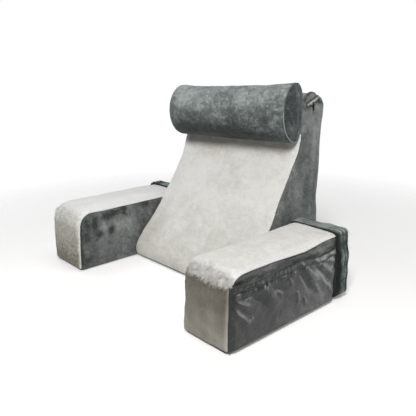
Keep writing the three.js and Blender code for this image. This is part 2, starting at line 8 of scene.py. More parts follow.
# %% Load the solid model and keep its box
import math
import bpy
import numpy as np
from mathutils import Matrix, Vector, noise
from mathutils.bvhtree import BVHTree
from mathutils.kdtree import KDTree


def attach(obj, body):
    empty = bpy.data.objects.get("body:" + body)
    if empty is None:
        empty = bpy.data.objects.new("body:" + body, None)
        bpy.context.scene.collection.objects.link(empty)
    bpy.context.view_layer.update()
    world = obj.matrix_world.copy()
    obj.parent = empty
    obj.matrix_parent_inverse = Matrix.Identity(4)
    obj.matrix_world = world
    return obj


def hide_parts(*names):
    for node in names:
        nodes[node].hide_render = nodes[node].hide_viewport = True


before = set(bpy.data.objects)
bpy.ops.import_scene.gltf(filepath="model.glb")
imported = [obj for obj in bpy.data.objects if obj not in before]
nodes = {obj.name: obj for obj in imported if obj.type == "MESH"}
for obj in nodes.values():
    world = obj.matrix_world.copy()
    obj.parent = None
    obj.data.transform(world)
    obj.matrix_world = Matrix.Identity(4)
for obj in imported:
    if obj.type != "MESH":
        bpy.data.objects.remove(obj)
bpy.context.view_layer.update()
scene = bpy.context.scene
MM = 0.001

# %% [markdown]
# ## Camera
# A camera is a place, three axes and a lens.
# It could be aimed with a Track To constraint, which always keeps the horizon level.
# The picture leans by half a degree, so the axes are written down and set as a matrix.

# %% Camera
CAMERA_PLACE = Vector((1.0088, -0.9726, 0.5643))
CAMERA_RIGHT = Vector((0.6716, 0.7408, -0.0095))
CAMERA_UP = Vector((-0.1954, 0.1895, 0.9622))
SENSOR_MM = 36
LENS_MM = 43.46

camera_data = bpy.data.cameras.new("viewer")
camera_data.sensor_width = SENSOR_MM
camera_data.lens = LENS_MM
camera = bpy.data.objects.new("viewer", camera_data)
scene.collection.objects.link(camera)
scene.camera = camera
toward_camera = CAMERA_RIGHT.cross(CAMERA_UP).normalized()
axes = Matrix((CAMERA_RIGHT, CAMERA_UP, toward_camera)).transposed()
camera.matrix_world = Matrix.Translation(CAMERA_PLACE) @ axes.to_4x4()
print("camera stands", round(CAMERA_PLACE.length, 2), "m from the pillow's middle")

# %% [markdown]
# ## Floor and light
# The pillow stands on a plain pale floor in soft light from high in front on its right.
# The floor could be a large plane, but a plane's far edge draws a horizon across the picture.
# A disc that fades out with distance shows the soft shadows and no edge.

# %% Floor
FLOOR_RADIUS = 1.45
FLOOR_SOLID_TO = 0.46
FLOOR_GONE_AT = 0.97 * FLOOR_RADIUS
FLOOR_LEVEL = -0.0004
FLOOR_SIDES = 96

floor_mesh = bpy.data.meshes.new("floor")
rim = [2 * math.pi * k / FLOOR_SIDES for k in range(FLOOR_SIDES)]
rim_points = [(FLOOR_RADIUS * math.cos(a), FLOOR_RADIUS * math.sin(a), FLOOR_LEVEL) for a in rim]
floor_mesh.from_pydata(rim_points, [], [list(range(FLOOR_SIDES))])
floor = bpy.data.objects.new("floor", floor_mesh)
scene.collection.objects.link(floor)
print("floor radius", FLOOR_RADIUS)

# %% Floor finish
def new_material(name):
    """A new material, its node tree and its Principled shader."""
    made = bpy.data.materials.new(name)
    made.use_nodes = True
    return made, made.node_tree, made.node_tree.nodes["Principled BSDF"]


def set_sockets(node, values):
    """Sets a node's own sockets by their names."""
    for socket, value in values.items():
        node.inputs[socket].default_value = value


def own_place(tree):
    """Where a point lies in its object's own space, in metres."""
    return tree.nodes.new("ShaderNodeTexCoord").outputs["Object"]


floor_paint, tree, shader = new_material("pale_floor")
set_sockets(shader, {
    "Base Color": (0.93, 0.925, 0.92, 1), "Emission Color": (1, 1, 1, 1), "Emission Strength": 0.12,
    "Roughness": 0.9, "Specular IOR Level": 0.1,
})
distance = tree.nodes.new("ShaderNodeVectorMath")
distance.operation = "LENGTH"
thin_out = tree.nodes.new("ShaderNodeMapRange")
set_sockets(thin_out, {"From Min": FLOOR_SOLID_TO, "From Max": FLOOR_GONE_AT, "To Min": 1, "To Max": 0})
tree.links.new(own_place(tree), distance.inputs[0])
tree.links.new(distance.outputs["Value"], thin_out.inputs["Value"])
tree.links.new(thin_out.outputs["Result"], shader.inputs["Alpha"])
floor_mesh.materials.append(floor_paint)
print("the floor fades out from", FLOOR_SOLID_TO, "to", FLOOR_GONE_AT)

# %% [markdown]
# ## World and lamps
# A world of even pale light could light the whole picture, but it would leave no form in the cloth.
# So the world only fills the shadows, and four area lamps give the light its direction.
# The key lamp throws the roll's shadow on the white face, and the camera sees plain white paper
# behind the pillow, which a Light Path node keeps apart from the light that the world gives.

# %% World and lamps
WORLD_FILL = 0.17
LAMPS = [
    # name, where it hangs, where it points, side length, watts, colour
    ("front_key", (1.25, -1.45, 2.05), (0, -0.1, 0.2), 0.7, 58, (1.0, 0.99, 0.97)),
    ("high_soft", (0.35, 0.25, 2.4), (0, -0.1, 0.15), 1.3, 7, (0.98, 0.99, 1.0)),
    ("right_rear", (2.2, 1.3, 1.2), (0.3, -0.1, 0.1), 0.8, 10, (0.97, 0.99, 1.0)),
    ("left_soft", (-0.70, -0.30, 1.05), (-0.32, -0.2, 0.18), 0.5, 2.1, (0.96, 0.98, 1.0)),
]

world = bpy.data.worlds.new("studio")
scene.world = world
world.use_nodes = True
tree = world.node_tree
fill = tree.nodes["Background"]
set_sockets(fill, {"Color": (0.97, 0.98, 1.0, 1), "Strength": WORLD_FILL})
paper = tree.nodes.new("ShaderNodeBackground")
set_sockets(paper, {"Color": (1, 1, 1, 1)})
seen = tree.nodes.new("ShaderNodeLightPath")
either = tree.nodes.new("ShaderNodeMixShader")
tree.links.new(seen.outputs["Is Camera Ray"], either.inputs[0])
tree.links.new(fill.outputs[0], either.inputs[1])
tree.links.new(paper.outputs[0], either.inputs[2])
tree.links.new(either.outputs[0], tree.nodes["World Output"].inputs["Surface"])
scene.view_settings.view_transform = "Standard"

for name, place, aim, side, watts, colour in LAMPS:
    lamp_data = bpy.data.lights.new(name, "AREA")
    lamp_data.size = side
    lamp_data.energy = watts
    lamp_data.color = colour
    lamp = bpy.data.objects.new(name, lamp_data)
    lamp.location = place
    lamp.visible_camera = False
    lamp.rotation_euler = (Vector(aim) - Vector(place)).to_track_quat("-Z", "Y").to_euler()
    scene.collection.objects.link(lamp)
print("lamps:", [row[0] for row in LAMPS])

# %% [markdown]
# ## Working on points
# Cloth is shaped here by moving the points of a mesh, all of them at once.
# Blender gives them as one long row of numbers, and numpy makes that row quick to work on.
# A smooth step is used wherever one part of a shape has to fade into another.

# %% Points in and out
def rows_of(mesh, what):
    """The places ("co") or the ways out ("normal") of a mesh's points, as rows of x, y, z."""
    flat = np.empty(len(mesh.vertices) * 3)
    mesh.vertices.foreach_get(what, flat)
    return flat.reshape(-1, 3)


def points_of(obj):
    return rows_of(obj.data, "co")


def normals_of(obj):
    return rows_of(obj.data, "normal")


def set_points(obj, points):
    obj.data.vertices.foreach_set("co", np.asarray(points, float).ravel())
    obj.data.update()


def swell(obj, amounts):
    """Moves each point out of the cloth by its amount."""
    set_points(obj, points_of(obj) + normals_of(obj) * np.asarray(amounts)[:, None])


print("point tools ready")

# %% Soft steps, bells and lumps
def fade(low, high, value):
    """0 below low, 1 above high, and a smooth step between them."""
    t = np.clip((np.asarray(value, float) - low) / (high - low), 0, 1)
    return t * t * (3 - 2 * t)


def bell(middle, half, value):
    """1 at the middle, and a soft fall to nearly 0 at twice the half width from it."""
    return np.exp(-(((value - middle) / half) ** 2))


def lumps(points, across, seed):
    """Smooth noise from about -1 to 1, whose lumps are that many metres across."""
    step = Vector((seed, 0.7 * seed, -seed))
    return np.array([noise.noise(Vector(p) / across + step) for p in points])


print("a step from 0 to 1, at its middle:", float(fade(0, 1, 0.5)))

# %% Smoothing and keeping what a modifier made
def keep_modifiers(obj):
    """The mesh becomes what its modifiers show, and they are removed."""
    graph = bpy.context.evaluated_depsgraph_get()
    kept = bpy.data.meshes.new_from_object(obj.evaluated_get(graph))
    old = obj.data
    obj.modifiers.clear()
    obj.data = kept
    bpy.data.meshes.remove(old)


def relax(obj, steps, share=0.5):
    """Moves points a share of the way to the middle of their neighbours, as pulled cloth does."""
    ends = np.empty(len(obj.data.edges) * 2, np.int64)
    obj.data.edges.foreach_get("vertices", ends)
    a, b = ends.reshape(-1, 2).T
    points = points_of(obj)
    count = len(points)
    degree = np.bincount(ends, minlength=count)[:, None]
    for _ in range(steps):
        total = np.stack([
            np.bincount(a, points[b, k], count) + np.bincount(b, points[a, k], count)
            for k in range(3)], axis=1)
        points = points + share * (total / np.maximum(degree, 1) - points)
    set_points(obj, points)


print("smoothing tools ready")

# %% [markdown]
# ## Dressing a piece
# Each finished piece rides on the pillow's one body and stands for a solid of the model.
# That solid is then hidden, and keeps its use for collisions.

# %% Dressing and building
def dress(obj, slot, material, *stands_for):
    """Gives a piece its finish and its body, and hides the solids that it stands for."""
    obj.data.materials.clear()
    obj.data.materials.append(material)
    obj.data.polygons.foreach_set("use_smooth", np.ones(len(obj.data.polygons), bool))
    obj.data.update()
    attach(obj, "root")
    if stands_for:
        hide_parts(*stands_for)
    print(obj.name, "has", len(obj.data.polygons), "faces")
    return obj


def piece_of(name, points, faces):
    """A new object from rows of points and faces."""
    mesh = bpy.data.meshes.new(name)
    mesh.from_pydata([tuple(p) for p in points], [], [tuple(f) for f in faces])
    mesh.validate()
    mesh.update()
    obj = bpy.data.objects.new(name, mesh)
    scene.collection.objects.link(obj)
    return obj


print("dressing tools ready")

# %% Even copies of a solid
SMOOTH_STEPS = 3


def surface_of(mesh):
    """A search tree that finds the nearest place on a mesh."""
    return BVHTree.FromPolygons([v.co for v in mesh.vertices], [tuple(f.vertices) for f in mesh.polygons])


def even_copy(name, node, face_size):
    """A copy of a solid with small even faces that lie on the solid's own surface."""
    source = nodes[node].data
    obj = bpy.data.objects.new(name, source.copy())
    scene.collection.objects.link(obj)
    even = obj.modifiers.new("even_faces", "REMESH")
    even.mode = "VOXEL"
    even.voxel_size = face_size
    keep_modifiers(obj)
    surface = surface_of(source)
    set_points(obj, [surface.find_nearest(Vector(p))[0] for p in points_of(obj)])
    relax(obj, SMOOTH_STEPS)
    return obj


print("building tools ready")

# %% [markdown]
# ## Filling a cushion
# Foam and filling push a cover outwards until its seams hold it.
# The swell could be drawn by hand, but a cloth simulation finds how the sides share it.
# A coarse copy of each cushion is simulated, and the fine pieces over it follow its points.
# Where a cushion rests on the floor or on a neighbour, it is held as it is.

# %% Cloth simulation of the fill
FILL_FRAMES = 20
FILL_CLOTH = {
    "quality": 4, "mass": 0.2, "tension_stiffness": 25, "compression_stiffness": 25,
    "shear_stiffness": 12, "bending_stiffness": 2, "use_pressure": True, "uniform_pressure_force": 3.0,
}
FOLLOWED_POINTS = 5


def fill_cushion(node, face_size, cap, hold):
    """Returns a function that tells how far the fill moves the cloth at given points."""
    obj = even_copy(node + "_fill", node, face_size)
    rest = points_of(obj)
    cloth = obj.modifiers.new("fill", "CLOTH")
    for setting, value in FILL_CLOTH.items():
        setattr(cloth.settings, setting, value)
    cloth.settings.effector_weights.gravity = 0
    cloth.point_cache.frame_start = 1
    cloth.point_cache.frame_end = FILL_FRAMES
    for step in range(1, FILL_FRAMES + 1):
        scene.frame_set(step)
    graph = bpy.context.evaluated_depsgraph_get()
    shift = rows_of(obj.evaluated_get(graph).data, "co") - rest
    far = np.linalg.norm(shift, axis=1)
    shift *= (cap * np.tanh(far / cap) / np.maximum(far, 1e-9) * hold(rest))[:, None]
    obj.modifiers.clear()
    scene.frame_set(1)
    bpy.data.objects.remove(obj)
    tree = KDTree(len(rest))
    for i, p in enumerate(rest):
        tree.insert(Vector(p), i)
    tree.balance()
    print(node, "fill moves it by up to", round(float(far.max()) / MM, 1), "mm before the cap")

    def moved_by(points):
        result = np.zeros((len(points), 3))
        for i, p in enumerate(points):
            near = tree.find_n(Vector(p), FOLLOWED_POINTS)
            weights = np.array([1 / (d + 0.001) ** 2 for _, _, d in near])
            result[i] = weights @ shift[[k for _, k, _ in near]] / weights.sum()
        return result

    return moved_by


def follow(obj, moved_by):
    """The cloth goes along with its fill."""
    points = points_of(obj)
    set_points(obj, points + moved_by(points))


print("fill runs for", FILL_FRAMES, "frames")

# %% [markdown]
# ## Shader helpers
# A finish is a small net of nodes. It could be drawn by hand in the shader editor.
# Written as short functions, the same few kinds of node can be used for each cloth.

# %% Shader helpers
def noise_node(tree, place, scale, detail, rough, distortion=0.0):
    """Noise from 0 to 1, whose scale is about the number of its lumps in a metre."""
    made = tree.nodes.new("ShaderNodeTexNoise")
    set_sockets(made, {"Scale": scale, "Detail": detail, "Roughness": rough, "Distortion": distortion})
    tree.links.new(place, made.inputs["Vector"])
    return made.outputs["Fac"]


def nap_and_light_value(tree):
    """The nap and the painted light and shade that a piece carries at each of its points."""
    made = tree.nodes.new("ShaderNodeAttribute")
    made.attribute_name = "nap_and_painted_light"
    return made.outputs["Fac"]


def maths(tree, operation, first, second, third=None):
    """One step of arithmetic on numbers or on other nodes' values."""
    made = tree.nodes.new("ShaderNodeMath")
    made.operation = operation
    for socket, value in zip(made.inputs, (first, second, third)):
        if value is None:
            continue
        if isinstance(value, (int, float)):
            socket.default_value = value
        else:
            tree.links.new(value, socket)
    return made.outputs[0]


def weighted_sum(tree, parts):
    """Adds shader values, each times its weight and taken about its middle of 0.5."""
    total = 0.5
    for value, weight in parts:
        middle = maths(tree, "SUBTRACT", value, 0.5)
        total = maths(tree, "MULTIPLY_ADD", middle, weight, total)
    return total


def ramp(tree, value, stops):
    """Turns a value into a colour between stops, each of them a place from 0 to 1 and a colour."""
    made = tree.nodes.new("ShaderNodeValToRGB")
    row = made.color_ramp.elements
    while len(row) < len(stops):
        row.new(0.5)
    for element, (at, colour) in zip(row, stops):
        element.position = at
        element.color = (*colour, 1)
    tree.links.new(value, made.inputs["Fac"])
    return made.outputs["Color"]


def bump(tree, height, distance, strength, under=None):
    """Fine relief that only the light sees, over another bump if one is given."""
    made = tree.nodes.new("ShaderNodeBump")
    set_sockets(made, {"Distance": distance, "Strength": strength})
    tree.links.new(height, made.inputs["Height"])
    if under is not None:
        tree.links.new(under, made.inputs["Normal"])
    return made.outputs["Normal"]


def stretched(tree, place, stretch):
    """The same places with each axis stretched, so that noise made from them gets longer lumps."""
    made = tree.nodes.new("ShaderNodeMapping")
    set_sockets(made, {"Scale": stretch})
    tree.links.new(place, made.inputs["Vector"])
    return made.outputs["Vector"]


print("shader helpers ready")

# %% [markdown]
# ## Grey velvet
# The grey cloth is a short velvet whose pile lies in all directions after handling.
# Where the pile leans towards the light it is pale, and where it leans away it is dark.
# A photo of velvet could be laid on as a picture, but noise has no seams and stays sharp.
# Noise of four sizes paints the patches, the marks, thin wispy lines and the speckle of the pile.
# Each piece also carries a value per point that darkens or lightens a place: the pile's own marks, and
# painted shade and highlights.
# Sheen gives the soft glow at the edges, and fine bump breaks up the light.

# %% Velvet
def velvet_cloth(name, dark, middle, light, stretch, wisps, sheen):
    made, tree, shader = new_material(name)
    place = stretched(tree, own_place(tree), stretch)
    patches = noise_node(tree, place, 13, 3, 0.5, 0.3)
    marks = noise_node(tree, place, 62, 5, 0.68, 0.5)
    pile = noise_node(tree, place, 380, 3, 0.75)
    veins = noise_node(tree, place, 44, 3, 0.5, 1.3)
    ridge = maths(tree, "ABSOLUTE", maths(tree, "SUBTRACT", veins, 0.5), 0)
    line = maths(tree, "MAXIMUM", maths(tree, "SUBTRACT", 1, maths(tree, "MULTIPLY", ridge, 20)), 0)
    wisp = maths(tree, "MULTIPLY", line, maths(tree, "MULTIPLY", patches, marks))
    total = weighted_sum(tree, [(patches, 0.7), (marks, 0.75), (pile, 0.55)])
    total = maths(tree, "ADD", total, nap_and_light_value(tree))
    total = maths(tree, "MULTIPLY_ADD", wisp, wisps, total)
    colour = ramp(tree, total, [(0.18, dark), (0.5, middle), (0.86, light)])
    tree.links.new(colour, shader.inputs["Base Color"])
    set_sockets(shader, {
        "Roughness": 0.82, "Specular IOR Level": 0.2,
        "Sheen Weight": sheen, "Sheen Roughness": 0.4, "Sheen Tint": (0.78, 0.86, 0.88, 1),
    })
    rough = bump(tree, marks, 0.004, 0.7)
    fine = bump(tree, pile, 0.0012, 0.8, rough)
    tree.links.new(fine, shader.inputs["Normal"])
    return made


print("velvet is noise of four sizes plus each piece's own nap")

# %% Nap and painted light on a piece
def paint_nap_and_light(obj, values):
    """Stores the nap and the painted light and shade of each point: below 0 is darker, above 0 is lighter."""
    layer = obj.data.attributes.get("nap_and_painted_light") or obj.data.attributes.new("nap_and_painted_light", "FLOAT", "POINT")
    layer.data.foreach_set("value", np.asarray(values, np.float32))


def mark_and_shade_patches(points, rows, axes=(1, 2)):
    """Soft ovals for marks, painted shade and painted light: millimetres along two axes, their two half
    sizes, and a strength.
    """
    total = np.zeros(len(points))
    u = points[:, axes[0]] / MM
    v = points[:, axes[1]] / MM
    for at_u, at_v, half_u, half_v, strength in rows:
        total += strength * np.exp(-(((u - at_u) / half_u) ** 2 + ((v - at_v) / half_v) ** 2))
    return total


def uneven(points, far, across, seed):
    """The points shaken by smooth noise, so that marks made from them get uneven edges."""
    return points + far * np.stack([lumps(points, across, seed + k) for k in range(3)], axis=1)


print("nap tools ready")

# %% The four velvets
# A velvet has three colours, how its noise is stretched, its wisps and its sheen.
VELVET_DARK = (0.032, 0.039, 0.038)
GREY_COLOURS = [VELVET_DARK, (0.122, 0.133, 0.130), (0.29, 0.305, 0.298)]
SIDE_COLOURS = [(0.014, 0.017, 0.017), (0.108, 0.112, 0.109), (0.32, 0.325, 0.318)]
ROLL_COLOURS = [VELVET_DARK, (0.120, 0.138, 0.135), (0.33, 0.36, 0.352)]
STRAP_COLOURS = [(0.014, 0.019, 0.018), (0.062, 0.074, 0.071), (0.24, 0.265, 0.255)]

grey_velvet = velvet_cloth("grey_velvet", *GREY_COLOURS, (1, 1, 1), 0.24, 0.35)
side_velvet = velvet_cloth("side_velvet", *SIDE_COLOURS, (1, 0.5, 1.4), 0.32, 0.14)
roll_velvet = velvet_cloth("roll_velvet", *ROLL_COLOURS, (0.8, 1, 1), 0.672, 0.35)
strap_velvet = velvet_cloth("strap_velvet", *STRAP_COLOURS, (1, 1, 1), 0.32, 0.14)
print("velvets:", grey_velvet.name, side_velvet.name, roll_velvet.name, strap_velvet.name)

# %% [markdown]
# ## White plush
# The lean-on face and the armrests' tops are a thick white plush with a soft open pile.
# Hair strands would be the true way, but they're lost when the model is exported.
# So the pile is bump in three sizes over a mottled off-white, with locks added as a mesh
# where the pile stands open along the front corners.
# Nap below 0 is mostly painted shade, which darkens the colour and calms its noise.

# %% Plush
def plush_cloth(name, light, tint, painted_shade, shade):
    made, tree, shader = new_material(name)
    place = own_place(tree)
    cloud = noise_node(tree, place, 16, 4, 0.6, 0.6)
    mottle = noise_node(tree, place, 70, 4, 0.65, 0.4)
    tufts = noise_node(tree, place, 230, 4, 0.7, 0.8)
    fibre = noise_node(tree, place, 900, 2, 0.7)
    nap_and_painted_light = nap_and_light_value(tree)
    mixed = weighted_sum(tree, [(cloud, 0.24), (mottle, 0.15), (tufts, 0.16), (fibre, 0.10)])
    calm = maths(tree, "MULTIPLY_ADD", nap_and_painted_light, 1.3, 1)
    total = maths(tree, "MULTIPLY_ADD", maths(tree, "SUBTRACT", mixed, 0.5), calm, 0.5)
    total = maths(tree, "ADD", total, nap_and_painted_light)
    colour = ramp(tree, total, [(0.02, shade), (0.22, painted_shade), (0.43, tint), (0.58, light)])
    tree.links.new(colour, shader.inputs["Base Color"])
    set_sockets(shader, {
        "Roughness": 0.95, "Specular IOR Level": 0.1,
        "Sheen Weight": 0.25, "Sheen Roughness": 0.5, "Sheen Tint": (1.0, 0.99, 0.97, 1),
    })
    soft = bump(tree, mottle, 0.004, 0.5)
    curl = bump(tree, tufts, 0.0035, 0.8, soft)
    fine = bump(tree, fibre, 0.0012, 0.7, curl)
    tree.links.new(fine, shader.inputs["Normal"])
    return made


# The two darker colours are for the painted shade on the plush.
PLUSH_SHADE = (0.128, 0.112, 0.086)
PLUSH_HALF_SHADE = (0.438, 0.424, 0.366)
PLUSH_TINT = (0.765, 0.76, 0.735)
PLUSH_LIGHT = (0.82, 0.82, 0.81)
white_plush = plush_cloth("white_plush", PLUSH_LIGHT, PLUSH_TINT, PLUSH_HALF_SHADE, PLUSH_SHADE)
print("plush:", white_plush.name)

# %% [markdown]
# ## The wedge's fill
# The wedge is one foam block whose cover is sewn from flat panels.
# Its sides swell above the armrests, its back is nearly flat, and it is flat on the floor.
# Scaling the whole mesh up would swell it everywhere, so its fill is simulated instead.
# That is done once, and the velvet cover and the white face both follow it.
# Beside the armrests, under the roll and at the zip the cover is held, so it can't swell there.

# %% Wedge fill
ARM_TOP = 0.176
ROLL_FROM = 0.352
ZIP_FROM = 0.452


def wedge_hold(p):
    """1 where the wedge's cover is free to swell, 0 where it is held."""
    x, y, z = p.T
    floor = fade(0.006, 0.07, z)
    beside_arm = 1 - fade(0.19, 0.21, np.abs(x)) * (1 - fade(ARM_TOP, ARM_TOP + 0.05, z))
    under_roll = 1 - fade(ROLL_FROM - 0.05, ROLL_FROM, z) * (1 - fade(0.09, 0.12, y))
    at_zip = 1 - fade(ZIP_FROM - 0.04, ZIP_FROM, z)
    return floor * beside_arm * under_roll * at_zip


wedge_fill = fill_cushion("wedge_cushion", face_size=0.010, cap=0.005, hold=wedge_hold)
print("wedge fill ready")

# %% [markdown]
# ## The wedge's velvet cover
# The grey cover has two side panels, a back, a base and a top that sags between the panels.
# The panels' upper ends stand up as two lobes, each with a seam along its edge.
# The sag could be sculpted with a brush, but formulas on the points give the same cover each time.
# Beside the roll the velvet wraps over the front corner, where the plush is cut narrower.

# %% Wedge velvet
wedge_velvet = even_copy("wedge_velvet", "wedge_cushion", face_size=0.0045)
follow(wedge_velvet, wedge_fill)
p = points_of(wedge_velvet)
hold = wedge_hold(p)
behind = fade(0.10, 0.14, p[:, 1])
swell(wedge_velvet, hold * (0.0014 * lumps(p, 0.09, 3.1) + 0.0006 * lumps(p, 0.03, 5.7)))

# The rear edge of the side panel bulges a little, two thirds of the way up.
p = points_of(wedge_velvet)
rear_bulge = 0.004 * bell(0.30, 0.07, p[:, 2]) * behind * hold
p[:, 1] += rear_bulge
set_points(wedge_velvet, p)

# The cover's top sags a little between its side panels.
TOP_SAG = 0.012
x_of, y_of, z_of = points_of(wedge_velvet).T
between = (1 - fade(0.194, 0.209, np.abs(x_of))) * fade(0.066, 0.080, y_of) * (1 - fade(0.119, 0.1235, y_of))
p = points_of(wedge_velvet)
p[:, 2] -= TOP_SAG * between * (1 - 0.55 * fade(0.106, 0.119, y_of)) * fade(0.455, 0.48, z_of)
set_points(wedge_velvet, p)
print("the wedge's top sags by", TOP_SAG / MM, "mm")

# %% Wedge velvet corners and marks
# The dark rows along the zip, from 462 to 481 mm up, paint the shade beside it and in the fold at its bend.
WEDGE_SIDE_MARKS_AND_SHADE = [
    # y, z, half sizes in mm, strength
    (126, 478, 6, 4.5, -0.8), (135, 472, 8, 4, -0.7), (146, 469, 7, 4, -0.5), (104, 440, 22, 22, 0.10),
    (120, 330, 9, 60, 0.16), (95, 260, 8, 50, -0.16), (130, 240, 7, 46, -0.14), (60, 230, 14, 26, 0.10),
    (20, 190, 40, 22, -0.12), (140, 400, 12, 40, 0.14), (100, 400, 16, 20, -0.10), (150, 300, 7, 80, 0.12),
    (80, 462, 8, 6, -0.45), (96, 467, 9, 5, -0.36), (112, 473, 9, 5, -0.36), (128, 481, 7, 10, -0.60),
    (99, 487, 13, 7, 0.12), (140, 470, 8, 30, 0.10),
]
PLUSH_NARROWER = 0.007
CORNER_WRAP = 0.0052


def corner_wrap(p):
    """1 along the front corners beside the roll, 0 elsewhere."""
    return fade(0.375, 0.415, p[:, 2]) * (1 - fade(0.075, 0.085, p[:, 1]))


facing_front = fade(0.2, 0.6, -normals_of(wedge_velvet)[:, 1])
at_corner = corner_wrap(p) * fade(0.203, 0.210, np.abs(p[:, 0])) * facing_front
swell(wedge_velvet, CORNER_WRAP * at_corner)
side = fade(0.205, 0.215, np.abs(p[:, 0]))
# The side is lighter towards its top, and a line of painted shade follows each lobe's seam.
nap_and_painted_light = side * mark_and_shade_patches(p, WEDGE_SIDE_MARKS_AND_SHADE) + 0.10 * side * fade(0.2, 0.45, p[:, 2])
lobe_seam_shade = bell(0.2135, 0.0028, np.abs(p[:, 0])) * fade(0.466, 0.476, p[:, 2])
nap_and_painted_light -= 0.42 * lobe_seam_shade * (1 - fade(0.118, 0.126, p[:, 1]))
paint_nap_and_light(wedge_velvet, nap_and_painted_light)
dress(wedge_velvet, "grey_velvet", grey_velvet, "wedge_cushion")

# %% [markdown]
# ## The white lean-on face
# The face is one plush sheet from the nose at the floor to a seam behind the roll.
# It could be a second finish on the cover, but a sheet of its own keeps its thickness and edge.
# Shade is painted on it towards the floor, and above a soft line the roll's shadow is painted on it.

# %% Wedge plush face
wedge_plush = even_copy("wedge_plush", "wedge_front_panel", face_size=0.0026)
follow(wedge_plush, wedge_fill)
p = points_of(wedge_plush)
outward = normals_of(wedge_plush)
facing = fade(0.0, 0.4, -outward[:, 1])
free = wedge_hold(p) * facing
swell(wedge_plush, free * (0.0016 * lumps(p, 0.11, 1.3) + 0.0008 * lumps(p, 0.035, 2.9))
      + 0.0005 * facing * lumps(p, 0.009, 8.2))
p = points_of(wedge_plush)
p[:, 0] -= np.sign(p[:, 0]) * PLUSH_NARROWER * corner_wrap(p) * fade(0, 0.2, np.abs(p[:, 0]))
set_points(wedge_plush, p)
WEDGE_FACE_MARKS = [
    # x, z in mm, half sizes in mm, strength
    (-60, 330, 60, 26, -0.05), (40, 250, 70, 40, -0.04), (-90, 170, 50, 30, -0.05),
    (120, 120, 60, 30, -0.03), (-170, 90, 30, 30, -0.05),
]
# Besides faint spots and mottling, shade is painted on: deeper towards the floor, and as the roll's shadow
# above a soft line.
nap_and_painted_light = mark_and_shade_patches(p, WEDGE_FACE_MARKS, (0, 2)) - 0.05 * (1 - fade(0.01, 0.06, p[:, 2]))
wide = np.array([0.5, 1, 1])
nap_and_painted_light -= 0.075 + 0.020 * lumps(p * wide, 0.05, 2.4) + 0.024 * lumps(p * wide, 0.010, 7.3)
nap_and_painted_light -= 0.085 * (1 - fade(0.04, 0.22, p[:, 2]))
roll_shadow_line = 0.328 + 0.006 * lumps(p, 0.05, 4.1)
nap_and_painted_light -= 0.15 * fade(-0.010, 0.022, p[:, 2] - roll_shadow_line) * (1 - fade(0.17, 0.21, p[:, 0]))
paint_nap_and_light(wedge_plush, nap_and_painted_light)
dress(wedge_plush, "white_plush", white_plush, "wedge_front_panel")

# %% [markdown]
# ## The armrests' shapes
# Each armrest is a foam block with velvet sides and one plush strip over its top and front.
# The seam beside the strip wanders, since the strip is cut a little loose.
# The left nose is plump, and each strap pulls its armrest's lower outer edge round.
# The edges could be pulled about by hand in edit mode, once for the velvet and once for the plush.
# As functions on points, the same changes serve both, and the two stay together.

# %% Armrest shapes
ARM_OUTER = {"right": 0.3693, "left": -0.3883}


def arm_hold(p):
    """1 where an armrest's cover is free to swell, 0 at the floor, the wedge and the strap."""
    x, y, z = p.T
    floor = fade(0.006, 0.05, z)
    beside_wedge = fade(0.2303, 0.2403, np.abs(x))
    along_wedge = fade(-0.165, -0.12, y)
    inner = 1 - (1 - beside_wedge) * along_wedge
    at_strap = 1 - fade(-0.02, 0.0, y)
    return floor * inner * at_strap


def right_arm_hold(p):
    """The same, and held at the front of the outer side, where the pocket is sewn down."""
    outer = fade(0.352, 0.362, p[:, 0]) * (1 - fade(0.150, 0.165, p[:, 2]))
    return arm_hold(p) * (1 - outer * fade(-0.352, -0.340, p[:, 1]))


SEAM_WAVE = [
    # y, how far the right armrest's outer seam lies above or below its line, in mm
    (-352, 0.0), (-316, -1.0), (-275, 0.5), (-210, -0.5), (-160, -3.5), (-102, -6.0),
    (-60, -2.5), (-30, 2.0), (10, 2.0), (63, 0.0),
]


def seam_wave(p):
    """Moves points by the outer seam of the right armrest up or down with it."""
    ys, shifts = np.array(SEAM_WAVE, float).T
    up = np.interp(p[:, 1] / MM, ys, shifts) * MM
    near = fade(0.335, 0.369, p[:, 0]) * fade(0.115, 0.165, p[:, 2])
    moved = p.copy()
    moved[:, 2] += up * near
    return moved


def plump_nose(p):
    """The left armrest's outer side swells near its front."""
    x, y, z = p.T
    far = 0.0055 * bell(0.105, 0.05, z) * bell(-0.33, 0.06, y)
    moved = p.copy()
    moved[:, 0] -= far * fade(0.30, 0.385, -x)
    return moved


STRAP_CORNER = 0.022
STRAP_UNDER = 0.003
ROUNDED_TO = STRAP_CORNER - 0.0004


def under_strap(p, side):
    """The strap pulls the armrest's lower outer edge round."""
    hand = 1 if side == "right" else -1
    middle = np.array([abs(ARM_OUTER[side]) - STRAP_CORNER, STRAP_UNDER + STRAP_CORNER])
    away = np.stack([hand * p[:, 0], p[:, 2]], axis=1) - middle
    far = np.linalg.norm(away, axis=1)
    at_corner = (away[:, 0] > 0) & (away[:, 1] < 0) & (far > ROUNDED_TO)
    pull = fade(0.004, 0.016, p[:, 1]) * at_corner * (1 - ROUNDED_TO / np.maximum(far, 1e-6))
    moved = p.copy()
    moved[:, 0] -= hand * away[:, 0] * pull
    moved[:, 2] -= away[:, 1] * pull
    return moved


arm_fills = {}
for side, hold in (("right", right_arm_hold), ("left", arm_hold)):
    arm_fills[side] = fill_cushion(f"arm_{side}_cushion", face_size=0.008, cap=0.004, hold=hold)
print("armrest fills:", list(arm_fills))

# %% [markdown]
# ## The armrests' velvet
# The velvet covers the sides, the rear and the base of each armrest.
# The left inner side shows dark thumb marks where the pile was pressed over.
# They could be painted by hand in texture paint, but that stores a picture with the model.
# Here a table of soft ovals says where they lie, and a little noise makes their edges uneven.

